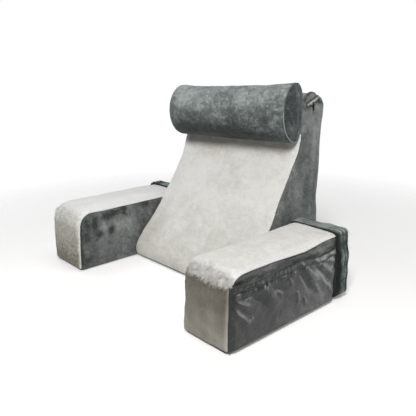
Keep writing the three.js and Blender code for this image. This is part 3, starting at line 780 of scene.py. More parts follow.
# %% Armrest velvet
LEFT_ARM_MARKS = [
    # y, z in mm, half sizes in mm, strength: dark thumb marks on the inner side
    (-294, 131, 10, 16, -0.52), (-282, 96, 13, 10, -0.44), (-242, 103, 8, 11, -0.62),
    (-252, 146, 20, 11, -0.48), (-224, 153, 16, 8, -0.36), (-190, 151, 9, 11, -0.56),
    (-124, 107, 4, 7, -0.42), (-318, 135, 9, 12, -0.24), (-322, 98, 8, 22, -0.20),
    (-113, 158, 14, 9, -0.26), (-341, 80, 6, 70, -0.24), (-300, 58, 14, 26, -0.15),
    (-318, 28, 20, 14, -0.16), (-250, 66, 20, 9, -0.12), (-200, 110, 30, 24, 0.12),
    (-168, 132, 20, 20, 0.10), (-266, 124, 5, 14, 0.14), (-230, 60, 60, 18, 0.05),
    (-210, 18, 90, 10, -0.10),
]
# On the right, the two long dark rows paint the shade on the strip in front of the pocket and in the gap in
# front of the strap.
RIGHT_ARM_MARKS_AND_SHADE = [
    (-250, 158, 40, 5, 0.05), (-180, 156, 30, 5, -0.08), (-100, 158, 30, 6, 0.06),
    (-320, 152, 16, 6, -0.22), (-348, 80, 7, 80, -0.75), (24, 70, 16, 100, -1.0),
    (-340, 150, 8, 6, -0.35), (-270, 149, 60, 3, -0.14), (-60, 150, 60, 3, 0.10), (-150, 166, 60, 3, 0.08),
]
for side, marks in (("right", RIGHT_ARM_MARKS_AND_SHADE), ("left", LEFT_ARM_MARKS)):
    velvet = even_copy(f"arm_{side}_velvet", f"arm_{side}_cushion", face_size=0.0042)
    follow(velvet, arm_fills[side])
    p = points_of(velvet)
    swell(velvet, arm_hold(p) * (0.0011 * lumps(p, 0.07, 4.4) + 0.0005 * lumps(p, 0.022, 6.1)))
    p = points_of(velvet)
    p = under_strap(seam_wave(p) if side == "right" else plump_nose(p), side)
    set_points(velvet, p)
    marked_side = fade(0.34, 0.36, p[:, 0]) if side == "right" else 1 - fade(0.24, 0.26, -p[:, 0])
    nap_and_painted_light = mark_and_shade_patches(uneven(p, 0.005, 0.010, 2.0), marks) * marked_side
    if side == "left":
        nap_and_painted_light -= 0.10 * (1 - fade(-0.30, -0.20, p[:, 1])) * marked_side
    paint_nap_and_light(velvet, nap_and_painted_light)
    dress(velvet, "grey_velvet", side_velvet if side == "right" else grey_velvet, f"arm_{side}_cushion")

# %% [markdown]
# ## The armrests' plush
# One strip of plush runs over each armrest's top and down its front.
# The front is painted with shade up to a ragged line on the nose, with a painted highlight along one of its
# edges.
# On the top it lies flat, and where the strip bends over the nose it stands rough.
# Each strip could have a cell of its own, but one loop keeps them alike, and a table holds what
# differs between right and left.

# %% Armrest plush
FRONT_SHADE_AND_PILE = {
    # how much painted shade darkens it at the line, at the floor and on the nose, the line's height and
    # softness, and how rough the pile stands
    "right": {"upper": -0.485, "lower": -0.39, "line": 0.152, "nose": -0.08, "soft": 0.006, "rough": 1.0},
    "left": {"upper": -0.29, "lower": -0.45, "line": 0.142, "nose": -0.05, "soft": 0.022, "rough": 0.5},
}
for side in ("right", "left"):
    plush = even_copy(f"arm_{side}_plush", f"arm_{side}_plush_panel", face_size=0.0023)
    follow(plush, arm_fills[side])
    p = points_of(plush)
    outward = normals_of(plush)
    centre_out = fade(-0.2, 0.3, -outward[:, 1]) + fade(-0.2, 0.3, outward[:, 2])
    outside = np.clip(centre_out, 0, 1)
    nose = fade(0.10, 0.14, p[:, 2]) * (1 - fade(-0.338, -0.300, p[:, 1]))
    front = 1 - fade(-0.345, -0.325, p[:, 1])
    swell(plush, outside * (0.0013 * lumps(p, 0.08, 7.7) + 0.0007 * lumps(p, 0.026, 1.9)
          + (0.0004 + 0.0009 * nose) * lumps(p, 0.009, 3.3)))
    p = points_of(plush)
    p = seam_wave(p) if side == "right" else plump_nose(p)
    set_points(plush, p)
    pile = FRONT_SHADE_AND_PILE[side]
    ragged = pile["line"] + 0.009 * lumps(p, 0.034, 2.6) + 0.005 * lumps(p, 0.011, 5.2)
    below = 1 - fade(-pile["soft"], pile["soft"], p[:, 2] - ragged)
    depth = pile["lower"] + (pile["upper"] - pile["lower"]) * fade(0.01, 0.14, p[:, 2])
    rough_pile = pile["rough"] * nose * (0.15 * lumps(p, 0.012, 1.1) + 0.10 * lumps(p, 0.005, 1.1))
    # A band of painted shade lies on the nose above the line, and the right top is painted darker at its
    # front and along its inner edge.
    nose_shade = nose * pile["nose"] * (1 - fade(0.156, 0.174, p[:, 2])) * (1 - below)
    on_top = fade(0.165, 0.176, p[:, 2]) * (side == "right")
    inner_edge_shade = bell(0.2313, 0.0028, p[:, 0])
    top_front_shade = -on_top * (0.115 + 0.40 * inner_edge_shade)
    rim_at, rim_highlight = (0.2325, 0.24) if side == "left" else (0.3670, 0.10)
    depth = depth + rim_highlight * bell(rim_at, 0.0045, np.abs(p[:, 0]))
    # Below the ragged line the front is painted with shade, and a strip along one edge is painted lighter as
    # a highlight.
    painted_shade = (depth + 0.04 * lumps(p, 0.03, 6.6)) * front * below
    if side == "left":
        painted_shade += front * (0.07 * lumps(p, 0.0075, 9.2) + 0.06 * lumps(p, 0.0045, 3.9))
    paint_nap_and_light(plush, painted_shade + rough_pile * (1 - below) + nose_shade + top_front_shade)
    dress(plush, "white_plush", white_plush, f"arm_{side}_plush_panel")
    velvet = bpy.data.objects[f"arm_{side}_velvet"]

# %% [markdown]
# ## The neck roll
# The roll is a velvet tube, stuffed until it is an oval, with a disc sewn into each end.
# A stretched cylinder would be too even, so the tube follows a simulated fill.
# It stays as it is beside the discs and against the wedge.

# %% Roll
ROLL_ENDS = {
    # middle and half sizes of each end's oval, in mm
    "left": {"x": -213, "y": 35.3, "z": 436, "front": 58, "rear": 34},
    "right": {"x": 216.5, "y": 38.7, "z": 449.5, "front": 50, "rear": 31},
}
ROLL_HALF_HEIGHT = 75
WEDGE_SKEW = 0.0153


def roll_hold(p):
    """1 where the roll's cover is free to swell, 0 beside its discs and against the wedge."""
    x, y, z = p.T
    ends = fade(-0.212, -0.19, x) * (1 - fade(0.195, 0.215, x))
    return ends * (1 - fade(0.035, 0.055, y - 0.28 * (z - 0.44)))


roll_fill = fill_cushion("roll_cushion", face_size=0.008, cap=0.004, hold=roll_hold)
roll_cloth = even_copy("roll_velvet", "roll_cushion", face_size=0.0036)
follow(roll_cloth, roll_fill)
p = points_of(roll_cloth)
swell(roll_cloth, roll_hold(p) * (0.0018 * lumps(p, 0.075, 9.1) + 0.0008 * lumps(p, 0.024, 4.8)))
p = points_of(roll_cloth)
print("roll", round(float(np.ptp(p[:, 0])) / MM), "mm long")

# %% Roll nap and painted light
# The rows at 390 mm paint shade along the roll's underside.
ROLL_MARKS_AND_SHADE = [
    # x, z in mm, half sizes in mm, strength
    (-120, 470, 60, 20, 0.10), (-40, 410, 70, 18, -0.12), (60, 480, 30, 16, 0.16),
    (100, 465, 30, 12, 0.14), (140, 430, 50, 22, -0.08), (-20, 430, 60, 14, 0.14),
    (-180, 440, 24, 40, 0.08), (30, 390, 120, 14, -0.20), (-150, 390, 50, 18, -0.20),
    (20, 425, 200, 22, -0.07),
]
right_end = ROLL_ENDS["right"]
from_middle = p / MM - np.array([0, right_end["y"] + WEDGE_SKEW * right_end["x"], right_end["z"]])
depth = np.where(from_middle[:, 1] < 0, right_end["front"], right_end["rear"])
oval = (from_middle[:, 1] / depth) ** 2 + (from_middle[:, 2] / ROLL_HALF_HEIGHT) ** 2
disc = fade(0.205, 0.212, p[:, 0]) * (1 - fade(0.88, 0.98, oval))
nap_and_painted_light = mark_and_shade_patches(p, ROLL_MARKS_AND_SHADE, (0, 2)) * (1 - disc) - 0.30 * disc
# Light is painted on the roll's top and shade on its lower half.
nap_and_painted_light += 0.12 * fade(0.45, 0.50, p[:, 2]) - 0.24 * (1 - fade(0.37, 0.43, p[:, 2])) * (1 - disc)
nap_and_painted_light -= 0.05 * (1 - fade(0.44, 0.47, p[:, 2])) * (1 - disc)
nap_and_painted_light += disc * (0.14 * lumps(p, 0.018, 5.5) + 0.08 * lumps(p, 0.008, 2.5))
paint_nap_and_light(roll_cloth, nap_and_painted_light)
dress(roll_cloth, "grey_velvet", roll_velvet, "roll_cushion")

# %% [markdown]
# ## The welts
# A cord covered in velvet, called a welt, lies in the seam round each disc of the roll.
# A curve with a round bevel would do, but a welt has to lie on the stuffed cloth everywhere.
# So points round each oval are moved to the nearest cloth, and a thin tube is laid through them.

# %% Tubes
def tube(path, radius, sides, closed=False):
    """A round cord along rows of points, whose sections turn as little as they can."""
    path = np.asarray(path, float)
    count = len(path)
    ahead = np.roll(path, -1, 0) - np.roll(path, 1, 0)
    if not closed:
        ahead[0] = path[1] - path[0]
        ahead[-1] = path[-1] - path[-2]
    ahead /= np.linalg.norm(ahead, axis=1)[:, None]
    side_way = np.cross(ahead[0], (0.3, 0.2, 0.93))
    points = []
    for at, way in zip(path, ahead):
        side_way = side_way - way * side_way.dot(way)
        side_way /= np.linalg.norm(side_way)
        up_way = np.cross(way, side_way)
        for k in range(sides):
            angle = 2 * math.pi * k / sides
            points.append(at + radius * (math.cos(angle) * side_way + math.sin(angle) * up_way))
    faces = []
    for i in range(count if closed else count - 1):
        j = (i + 1) % count
        for k in range(sides):
            m = (k + 1) % sides
            faces.append((i * sides + k, i * sides + m, j * sides + m, j * sides + k))
    if not closed:
        faces.append(tuple(reversed(range(sides))))
        faces.append(tuple(range((count - 1) * sides, count * sides)))
    return points, faces


print("tube tool ready")

# %% Welts
WELT_RADIUS = 0.0011
WELT_STEPS = 150
WELT_SIDES = 10
WELT_LIFT = 0.1

roll_surface = surface_of(roll_cloth.data)
for side, end in ROLL_ENDS.items():
    kept = []
    for k in range(WELT_STEPS):
        angle = 2 * math.pi * k / WELT_STEPS
        depth = end["front"] if math.cos(angle) < 0 else end["rear"]
        y = end["y"] + depth * math.cos(angle) + WEDGE_SKEW * end["x"]
        z = end["z"] + ROLL_HALF_HEIGHT * math.sin(angle)
        place, normal, _, _ = roll_surface.find_nearest(Vector((end["x"], y, z)) * MM)
        kept.append(place + normal * WELT_RADIUS * WELT_LIFT)
    points, faces = tube(kept, WELT_RADIUS, WELT_SIDES, closed=True)
    welt = piece_of(f"roll_piping_{side}", points, faces)
    q = points_of(welt)
    # The right welt's low front is painted light, and the rest of the welts a little darker.
    low_front = (1 - fade(0.43, 0.47, q[:, 2])) * (1 - fade(0.02, 0.05, q[:, 1]))
    welt_highlight = low_front * (side == "right")
    paint_nap_and_light(welt, 0.50 * welt_highlight - 0.06 * (1 - welt_highlight))
    dress(welt, "grey_velvet", roll_velvet, f"roll_welt_{side}")

# %% [markdown]
# ## The side pocket's folds
# The pocket is one piece of smooth, slightly shiny cloth on the right armrest's outer side.
# It is sewn down along its front, bottom and rear, and its gathered hem stands open.
# Loose cloth pulled at a few points makes drag folds. A cloth simulation would put them anywhere.
# So each fold is a soft ridge from a point on the hem in a direction, and a table lists them,
# which keeps every fold where it belongs and lets it be changed by one row.

# %% Pocket folds
POCKET = {"side": 369.6, "front": -345, "rear": 12, "bottom": 4, "slack": 6.6}
HEM_LINE = [(0, 149), (0.15, 143.5), (0.38, 145), (0.6, 147), (0.82, 139), (1, 143)]
DRAG_FOLDS = [
    # start y, z, end y, z, half width and height, all in mm
    (-264, 134, -208, 70, 13, 5.6), (-290, 122, -244, 88, 11, -4.2), (-346, 108, -294, 54, 6.5, 4.4),
    (-333, 116, -284, 86, 8, 3.4), (-126, 140, -64, 66, 7.5, 5.2), (-115, 126, -36, 66, 8, 5.6),
    (-128, 118, -84, 60, 7, -3.4), (-86, 143, 8, 72, 9, 4.4), (-54, 130, 10, 112, 6, 3.4),
    (-70, 118, -8, 62, 7, -3.0), (-196, 124, -150, 136, 9, 3.0), (-150, 132, -176, 88, 12, 3.2),
    (-138, 78, -134, 48, 6, 2.6), (-112, 56, -104, 34, 5, 2.6), (-22, 58, 6, 24, 8, 2.8),
    (-232, 120, -196, 100, 8, -2.6), (-304, 60, -280, 62, 4, 2.2), (-243, 132, -222, 112, 6, 3.2),
    (-344, 124, -300, 98, 4, 2.6), (-280, 128, -262, 112, 5, 2.8), (-206, 100, -188, 84, 6, 2.2),
    (-168, 120, -158, 96, 5, 2.0), (-96, 92, -52, 48, 5, 2.4), (-8, 100, 6, 84, 5, 2.2),
    (-346, 130, -284, 136, 2.0, -2.4), (-346, 118, -288, 114, 1.8, -2.4),
    (-60, 96, -30, 60, 5, 2.4), (-20, 136, 8, 132, 4, 2.4),
]


def hem_height(t):
    """The hem's height in mm at a share of the pocket's length, from front to rear."""
    rows = np.array(HEM_LINE, float)
    k = np.clip(np.searchsorted(rows[:, 0], t, side="right") - 1, 0, len(rows) - 2)
    a, b = rows[k], rows[k + 1]
    share = fade(a[:, 0], b[:, 0], t)
    return a[:, 1] + (b[:, 1] - a[:, 1]) * share


def fold_height(y, z):
    """How far the drag folds lift the cloth at a place, in mm."""
    total = np.zeros(len(y))
    for y0, z0, y1, z1, half, height in DRAG_FOLDS:
        run = math.hypot(y1 - y0, z1 - z0)
        along = ((y - y0) * (y1 - y0) + (z - z0) * (z1 - z0)) / run ** 2
        aside = ((y - y0) * (z1 - z0) - (z - z0) * (y1 - y0)) / run
        width = half * (0.6 + 0.7 * np.clip(along, 0, 1))
        length_fade = fade(-0.12, 0.12, along) * (1 - fade(0.7, 1.25, along))
        total += height * length_fade * bell(0, width, aside)
    return total


print("drag folds:", len(DRAG_FOLDS))

# %% [markdown]
# ## The pocket's cloth
# A plane could be cut fine and shaped by hand, but its edge would have to meet every seam.
# So the cloth is a fine grid between the seams and the hem, as if it lay flat on the armrest.
# Then it is lifted off: by its slack, by the folds, by the gathers below the hem and by the hem.
# A second grid close to the armrest is its inner side, and a rim of faces joins the two.

# %% Pocket grid
POCKET_COLUMNS = 190
POCKET_ROWS = 84
columns, rows = POCKET_COLUMNS + 1, POCKET_ROWS + 1
along_pocket, up_pocket = np.linspace(0, 1, columns), np.linspace(0, 1, rows)
t_grid, s_grid = np.meshgrid(along_pocket, up_pocket, indexing="ij")
t, s = t_grid.ravel(), s_grid.ravel()
y = POCKET["front"] + (POCKET["rear"] - POCKET["front"]) * t
z = POCKET["bottom"] + (hem_height(t) - POCKET["bottom"]) * s
flat_places = np.stack([y, z, np.zeros(len(y))], axis=1) * MM
print("pocket grid", columns, "by", rows)

# %% Pocket relief
POCKET_SHEET = 1.3
GATHER_STEP = 5.5
STITCH_ROW = 0.915
LEAST_LIFT = 0.15
MOST_LIFT = 12.6
edge = fade(0, 0.035, t) * fade(0, 0.035, 1 - t)
stand_off = POCKET["slack"] * edge * fade(0, 0.055, s)
soft = 1.3 * lumps(flat_places, 0.05, 2.2) + 0.7 * lumps(flat_places, 0.018, 7.1)
folds = fold_height(y, z) * fade(0, 0.2, s)
gather = 1.6 * lumps(flat_places * np.array([1, 0.22, 1]), GATHER_STEP * MM, 1.4)
gathers = 1.9 * gather * fade(0.80, 0.97, s) * (1 - 0.5 * fade(0.3, 0.6, t))
hem_band = 1.1 * fade(0.905, 0.925, s)
stitch_line = -0.9 * bell(STITCH_ROW, 0.008, s)
relief = folds + soft * fade(0, 0.15, s) + gathers
x = POCKET["side"] + stand_off + edge * relief + hem_band + stitch_line
x = np.clip(x, POCKET["side"] + LEAST_LIFT, POCKET["side"] + MOST_LIFT)
outer = np.stack([x + POCKET_SHEET, y, z + 0.8 * gather * fade(0.97, 1, s)], axis=1) * MM
inner = np.stack([x - 0.1, y, z], axis=1) * MM
print("pocket stands off by up to", round(float(x.max()) - POCKET["side"], 1), "mm")

# %% Pocket mesh
def grid_faces(columns, rows, first=0, flip=False):
    """The faces of a grid whose points are counted up each column in turn."""
    faces = []
    for c in range(columns - 1):
        for r in range(rows - 1):
            a = first + c * rows + r
            face = (a, a + rows, a + rows + 1, a + 1)
            faces.append(face[::-1] if flip else face)
    return faces


def rim_faces(columns, rows, offset):
    """Faces that join the rims of two such grids."""
    rim = [c * rows for c in range(columns)]
    rim += [(columns - 1) * rows + r for r in range(1, rows)]
    rim += [c * rows + rows - 1 for c in range(columns - 2, -1, -1)]
    rim += [r for r in range(rows - 2, 0, -1)]
    return [(a, a + offset, b + offset, b) for a, b in zip(rim, rim[1:] + rim[:1])]


count = columns * rows
faces = grid_faces(columns, rows) + grid_faces(columns, rows, count, flip=True)
faces += rim_faces(columns, rows, count)
pocket = piece_of("pocket_satin", np.vstack([outer, inner]), faces)
print("pocket faces:", len(faces))

# %% [markdown]
# ## The pocket's shine
# The smooth cloth shines where a fold leans up to the light and is dark where it leans down.
# Gloss alone would show this only from one side, so highlights and shade are also painted from the slopes of
# the folds.
# Soft ovals paint shade in the deep places and at the front and rear edges, and a few paint highlights;
# painted lines of light and shade mark the hem's stitches and the seams.

# %% Pocket's painted light and shade
POCKET_SHADES = [
    # y, z, half sizes in mm, strength
    (-320, 122, 44, 14, -0.16), (-258, 100, 26, 12, -0.14), (-262, 40, 90, 34, -0.04),
    (-170, 134, 40, 6, 0.12), (-40, 110, 60, 36, 0.08), (-332, 66, 5, 7, 0.10), (7, 70, 8, 60, -0.55),
    (-346, 72, 3.5, 66, -0.90), (-40, 60, 50, 40, 0.06), (-342, 140, 7, 8, -0.30),
    (-226, 112, 16, 14, -0.08), (-128, 92, 16, 26, -0.07), (-30, 137, 36, 3, 0.16),
]
lift = (x - POCKET["side"]).reshape(columns, rows)
slope_y = np.gradient(lift, y.reshape(columns, rows)[:, 0], axis=0)
slope_z = np.gradient(lift, axis=1) / np.maximum(np.gradient(z.reshape(columns, rows), axis=1), 0.2)
shine = np.clip(-0.22 * slope_y - 0.78 * slope_z, -0.34, 0.38)
shine = shine * fade(0.02, 0.06, t_grid) * fade(0.02, 0.06, 1 - t_grid)
shine = (shine * fade(0.06, 0.12, s_grid) * (1.1 - 0.35 * fade(0.5, 0.75, t_grid))).ravel()
# The gathers under the hem get painted highlights, the stitch row a dark painted line, and painted lines of
# light and shade run along the hem's top and the bottom seam.
under_hem = bell(0.85, 0.05, s) * (1 - 0.5 * fade(0.3, 0.7, t))
shine += 0.65 * np.clip(gather, -0.6, 1) * under_hem - 0.5 * bell(0.908, 0.010, s)
shine += 0.12 * bell(0.975, 0.014, s)
shine += 0.30 * bell(0.018, 0.012, s) - 0.25 * bell(0.05, 0.014, s)
shades = mark_and_shade_patches(flat_places, POCKET_SHADES, (0, 1))
# The cloth is darker towards its front.
shades = shades - 0.24 + 0.28 * fade(-0.28, -0.02, flat_places[:, 0])
paint_nap_and_light(pocket, np.concatenate([shine + shades, np.zeros(count)]))
print("pocket shine from", round(float(shine.min()), 2), "to", round(float(shine.max()), 2))

# %% [markdown]
# ## Satin
# The pocket's cloth is smoother than the velvet beside it, and a little crumpled.
# A picture of satin could carry the crumples, but noise with some distortion looks the same.
# The same noise changes the roughness, so the gloss breaks up along the crumples.

# %% Satin
def satin_cloth(name, dark, middle, light):
    made, tree, shader = new_material(name)
    place = own_place(tree)
    cloud = noise_node(tree, place, 14, 4, 0.6, 0.8)
    marks = noise_node(tree, place, 60, 5, 0.65, 1.4)
    pile = noise_node(tree, place, 700, 2, 0.7)
    total = weighted_sum(tree, [(cloud, 0.5), (marks, 0.85), (pile, 0.5)])
    total = maths(tree, "ADD", total, nap_and_light_value(tree))
    colour = ramp(tree, total, [(0.22, dark), (0.52, middle), (0.95, light)])
    tree.links.new(colour, shader.inputs["Base Color"])
    gloss = maths(tree, "MULTIPLY_ADD", marks, 0.22, 0.30)
    tree.links.new(gloss, shader.inputs["Roughness"])
    set_sockets(shader, {"Specular IOR Level": 0.45, "Sheen Weight": 0.12, "Sheen Roughness": 0.3})
    crumple = bump(tree, marks, 0.004, 0.55)
    tree.links.new(bump(tree, pile, 0.0006, 0.6, crumple), shader.inputs["Normal"])
    return made


SATIN_COLOURS = [(0.018, 0.020, 0.020), (0.066, 0.069, 0.068), (0.30, 0.31, 0.305)]
pocket_satin = satin_cloth("pocket_satin", *SATIN_COLOURS)
dress(pocket, "pocket_cloth", pocket_satin, "arm_right_pocket")

# %% [markdown]
# ## The straps
# A wide strap of dark velvet goes once round the rear of each armrest.
# It is bunched on the top and the outer side, so it shows creases along its length, and it
# lies thin where the armrest presses it to the floor and to the wedge.
# A flat band in a cloth simulation would crease too, but seldom in the right places.
# It is built as a loop of sections, which keeps the creases running round the corners.

# %% Strap outline
# Millimetres: both edges, the thin and the full cloth, and the armrest's section.
STRAP = {"front": 15, "rear": 62.5, "thin": 3, "full": 6, "top": 175.6, "corner": 9, "inner": 230.3}
STRAP_WIDTHS = {"right": 139, "left": 151}
STRAP_AROUND = 168
STRAP_ACROSS = 44
CORNER_STEPS = 8
shares = np.arange(STRAP_AROUND) / STRAP_AROUND
across = np.linspace(0, 1, STRAP_ACROSS + 1)


def strap_outline(inner, outer, bottom, top):
    """Points of a rounded rectangle in the XZ plane, at the shares of its way round."""
    r = STRAP["corner"]
    low = STRAP_CORNER / MM
    corners = [(outer - low, bottom + low, -90, low), (outer - r, top - r, 0, r),
               (inner + r, top - r, 90, r), (inner + r, bottom + r, 180, r)]
    line = []
    for cx, cz, start, r in corners:
        for k in range(CORNER_STEPS + 1):
            angle = math.radians(start + 90 * k / CORNER_STEPS)
            line.append((cx + r * math.cos(angle), cz + r * math.sin(angle)))
    line.append(line[0])
    line = np.array(line)
    run = np.concatenate([[0], np.cumsum(np.linalg.norm(np.diff(line, axis=0), axis=1))])
    at = shares * run[-1]
    return np.stack([np.interp(at, run, line[:, 0]), np.interp(at, run, line[:, 1])], axis=1)


print("strap sections:", STRAP_AROUND)

# %% Strap creases
def crease_height(across, around, seed):
    """The bunched strap's ridges, from 0 to 1, that wander as they go round."""
    places = np.stack([around * 3.0, across * 0.35, np.full(len(around), seed)], axis=1)
    drift = 0.16 * lumps(places, 1.0, seed)
    fine_drift = 0.07 * lumps(places * 3.1, 1.0, seed + 3)
    wave = np.abs(np.cos(math.pi * 3.6 * (across + drift)))
    small = np.abs(np.cos(math.pi * 8.3 * (across + 0.6 * drift + fine_drift)))
    lift = 0.5 + 0.5 * lumps(places * 1.7, 1.0, seed + 8)
    body = fade(-0.02, 0.12, across) * (1 - fade(0.88, 1.04, across))
    return (0.10 + (0.45 + 0.25 * lift) * wave ** 0.7 + 0.24 * small ** 0.8) * (0.35 + 0.65 * body)


print("creases run along the straps")

# %% [markdown]
# ## How the straps stand off
# The right strap is full and stands well off its armrest, most of all at the upper outer corner.
# The left one is tighter. On the outer side the front edge bows rearwards, as a pulled band does.
# A lattice could pull the bands outwards, but it would stretch their creases too.
# Here soft steps move the outline, and the creases are laid on afterwards.

# %% Strap sections
STRAP_BOW = 14
STRAP_BELLY = {"right": 8, "left": 4}
STRAP_RAISED = 0.6
STRAP_HEM = 0.6


def strap_outlines(side):
    """The lining, the pressed face and the full face of a strap, and its outer side's place."""
    inner, top, full = STRAP["inner"], STRAP["top"], STRAP["full"]
    outer = inner + STRAP_WIDTHS[side]
    lining = strap_outline(inner + STRAP["thin"], outer, STRAP["thin"], top)
    thin_face = strap_outline(inner, outer + 0.01, 0, top + 0.01)
    full_face = strap_outline(inner, outer + full, 0, top + full)
    belly = fade(outer - 6, outer, full_face[:, 0]) * fade(2, 24, full_face[:, 1])
    full_face[:, 0] += STRAP_BELLY[side] * belly * (1 - 0.4 * fade(115, 178, full_face[:, 1]))
    raised = fade(outer - 90, outer - 15, full_face[:, 0]) * fade(150, 180, full_face[:, 1])
    full_face[:, 1] += STRAP_RAISED * STRAP_BELLY[side] * raised
    return lining, thin_face, full_face, outer


def strap_sections(side):
    """Every point of a strap in metres, outer side first, and the creases of its outer side."""
    lining, thin_face, full_face, outer = strap_outlines(side)
    outer_rows, inner_rows, creases = [], [], []
    for k, around in enumerate(shares):
        height = crease_height(across, np.full(len(across), around), 1.0 if side == "right" else 5.0)
        height = height * (0.86 + 0.28 * noise.noise(Vector((around * 22, 7.5, 0))))
        creases.append(height)
        flat_xz = thin_face[k] + (full_face[k] - thin_face[k]) * height[:, None]
        edge_wave = 1.6 * noise.noise(Vector((around * 9, 4.2, 0))) * fade(0.8, 1, across)
        outside = fade(outer - 6, outer, full_face[k, 0]) * fade(4, 40, full_face[k, 1])
        ripple = 1 + 0.3 * noise.noise(Vector((around * 30, 1, 2)))
        bow = STRAP_BOW * outside * (1 - fade(90, 176, full_face[k, 1])) * ripple
        front, rear = STRAP["front"] + STRAP_HEM + bow, STRAP["rear"] - STRAP_HEM + edge_wave
        y = front + (rear - front) * across
        outer_rows.append(np.stack([flat_xz[:, 0], y, flat_xz[:, 1]], axis=1))
        inner_rows.append(np.stack([np.full(len(y), lining[k, 0]), y, np.full(len(y), lining[k, 1])], axis=1))
    points = np.vstack(outer_rows + inner_rows) * MM
    if side == "left":
        points[:, 0] *= -1
    return points, np.concatenate(creases)


print("front edge bows by", STRAP_BOW, "mm")

# %% Straps
def strap_faces():
    """Faces of a closed loop of sections: the outer side, the lining and both edges."""
    rows = STRAP_ACROSS + 1
    total = STRAP_AROUND * rows
    faces = []
    for k in range(STRAP_AROUND):
        n = (k + 1) % STRAP_AROUND
        for r in range(rows - 1):
            a, b = k * rows + r, n * rows + r
            faces.append((a, a + 1, b + 1, b))
            faces.append((b + total, b + total + 1, a + total + 1, a + total))
        faces.append((k * rows, n * rows, n * rows + total, k * rows + total))
        a, b = k * rows + rows - 1, n * rows + rows - 1
        faces.append((a + total, b + total, b, a))
    return faces


for side in ("right", "left"):
    points, ridges = strap_sections(side)
    faces = strap_faces() if side == "right" else [f[::-1] for f in strap_faces()]
    strap = piece_of(f"strap_{side}_cloth", points, faces)
    q = points_of(strap)
    plain = np.zeros(len(ridges))
    streaks = 0.16 * lumps(q * np.array([0.35, 2.2, 0.35]), 0.014, 3.7)
    on_top = fade(0.172, 0.18, q[:, 2])
    front_edge = np.concatenate([np.tile(1 - fade(0.02, 0.14, across), STRAP_AROUND), plain])
    # Painted shade darkens the outer side, most of all along its front edge; the creases' ridges are painted
    # lighter and their valleys darker; the right strap's top is painted lighter and the left's a little
    # darker.
    side_shade = (1 - on_top) * (0.24 + 0.50 * front_edge)
    crumple = 0.20 * on_top * lumps(q * np.array([0.5, 2.0, 1]), 0.016, 8.8)
    top_highlight = 0.14 if side == "right" else -0.06
    crease_shading = (0.9 + 1.1 * on_top) * (np.concatenate([ridges, plain]) - 0.50)
    paint_nap_and_light(strap, streaks + crease_shading + top_highlight * on_top + crumple - side_shade)
    dress(strap, "strap_cloth", strap_velvet, f"strap_{side}")

# %% [markdown]
# ## Open pile on the noses
# Where the plush bends over an armrest's front, its pile stands open in small locks.
# Hair particles would do, but they stay behind when the model is exported.
# So each lock is a thin curved blade, and thousands of them are one mesh.
# Neighbours lean the same way, which makes them read as locks of pile and not as bristles.

# %% Tufts
TUFT_ROWS = {
    # how many blades, and the shortest and the longest in metres
    "right": (2600, 0.005, 0.011),
    "left": (900, 0.003, 0.006),
}
TUFT_DROOP = np.array([0, -0.25, -0.55])
TUFT_SEED = 11
BLADE_HALF_WIDTH = 0.00032
ROOT_SCATTER = 0.0012


def blades_on(name, base, chance, count, shortest, longest, droop, seed):
    """Curved blades that grow from points of a base mesh, more of them where chance is high."""
    picker = np.random.default_rng(seed)
    points, outward = points_of(base), normals_of(base)
    chance = chance / chance.sum()
    roots = picker.choice(len(points), size=count, p=chance)
    comb = np.stack([lumps(points[roots], 0.013, seed + k) for k in range(3)], axis=1)
    vertices, faces = [], []
    for k, root in enumerate(roots):
        length = picker.uniform(shortest, longest)
        way = 0.55 * outward[root] + 0.9 * comb[k] + droop + picker.normal(0, 0.16, 3)
        way /= np.linalg.norm(way)
        lean = way - outward[root] * min(0, way.dot(outward[root]) - 0.22)
        flat = np.cross(lean, outward[root]) + picker.normal(0, 0.1, 3)
        flat *= BLADE_HALF_WIDTH / np.linalg.norm(flat)
        start = points[root] + picker.normal(0, ROOT_SCATTER, 3) * (1 - np.abs(outward[root]))
        knee = start + lean * length * 0.55 + outward[root] * 0.0006
        tip = knee + (lean + 0.7 * droop) * length * 0.4
        first = len(vertices)
        vertices += [start - flat, start + flat, knee + flat * 0.8, knee - flat * 0.8, tip]
        faces += [(first, first + 1, first + 2, first + 3), (first + 3, first + 2, first + 4)]
    return piece_of(name, vertices, faces)


for side, (count, shortest, longest) in TUFT_ROWS.items():
    base = bpy.data.objects[f"arm_{side}_plush"]
    p, outward = points_of(base), normals_of(base)
    on_front = (1 - fade(-0.345, -0.318, p[:, 1])) * fade(0.142, 0.156, p[:, 2])
    outer_face = fade(-0.1, 0.2, outward[:, 2] - outward[:, 1])
    chance = on_front * outer_face + 1e-9
    tufts = blades_on(f"arm_{side}_tufts", base, chance, count, shortest, longest, TUFT_DROOP, TUFT_SEED)
    q = points_of(tufts)
    locks = FRONT_SHADE_AND_PILE[side]["rough"] * (-0.03 + 0.20 * lumps(q, 0.008, 2.2))
    # The locks low on the front are painted with the front's shade.
    paint_nap_and_light(tufts, locks - 0.22 * (1 - fade(0.138, 0.156, q[:, 2])))
    dress(tufts, "white_plush", white_plush)

# %% [markdown]
# ## Frayed edge
# The right strap's rear edge is cut and not hemmed, so loose threads hang from it.
# Curves could be drawn one by one, but they'd have to be turned into a mesh for export.
# So each thread is a thin tube along a few points, with a length and a curl picked by chance.

# %% Threads
THREADS = 18
THREAD_RADIUS = 0.00016
THREAD_POINTS = 7
SHORT_THREADS = (0.005, 0.013)
LONG_THREAD = 0.028
FRAYED_TOP = 0.176
FRAYED_RUN = 0.085
FURTHEST_OUT = 0.384


def tubes(name, paths, radius, sides):
    """One piece made of a thin tube along each path."""
    points, faces = [], []
    for path in paths:
        tube_points, tube_faces = tube(path, radius, sides)
        faces += [tuple(len(points) + i for i in face) for face in tube_faces]
        points += tube_points
    return piece_of(name, points, faces)


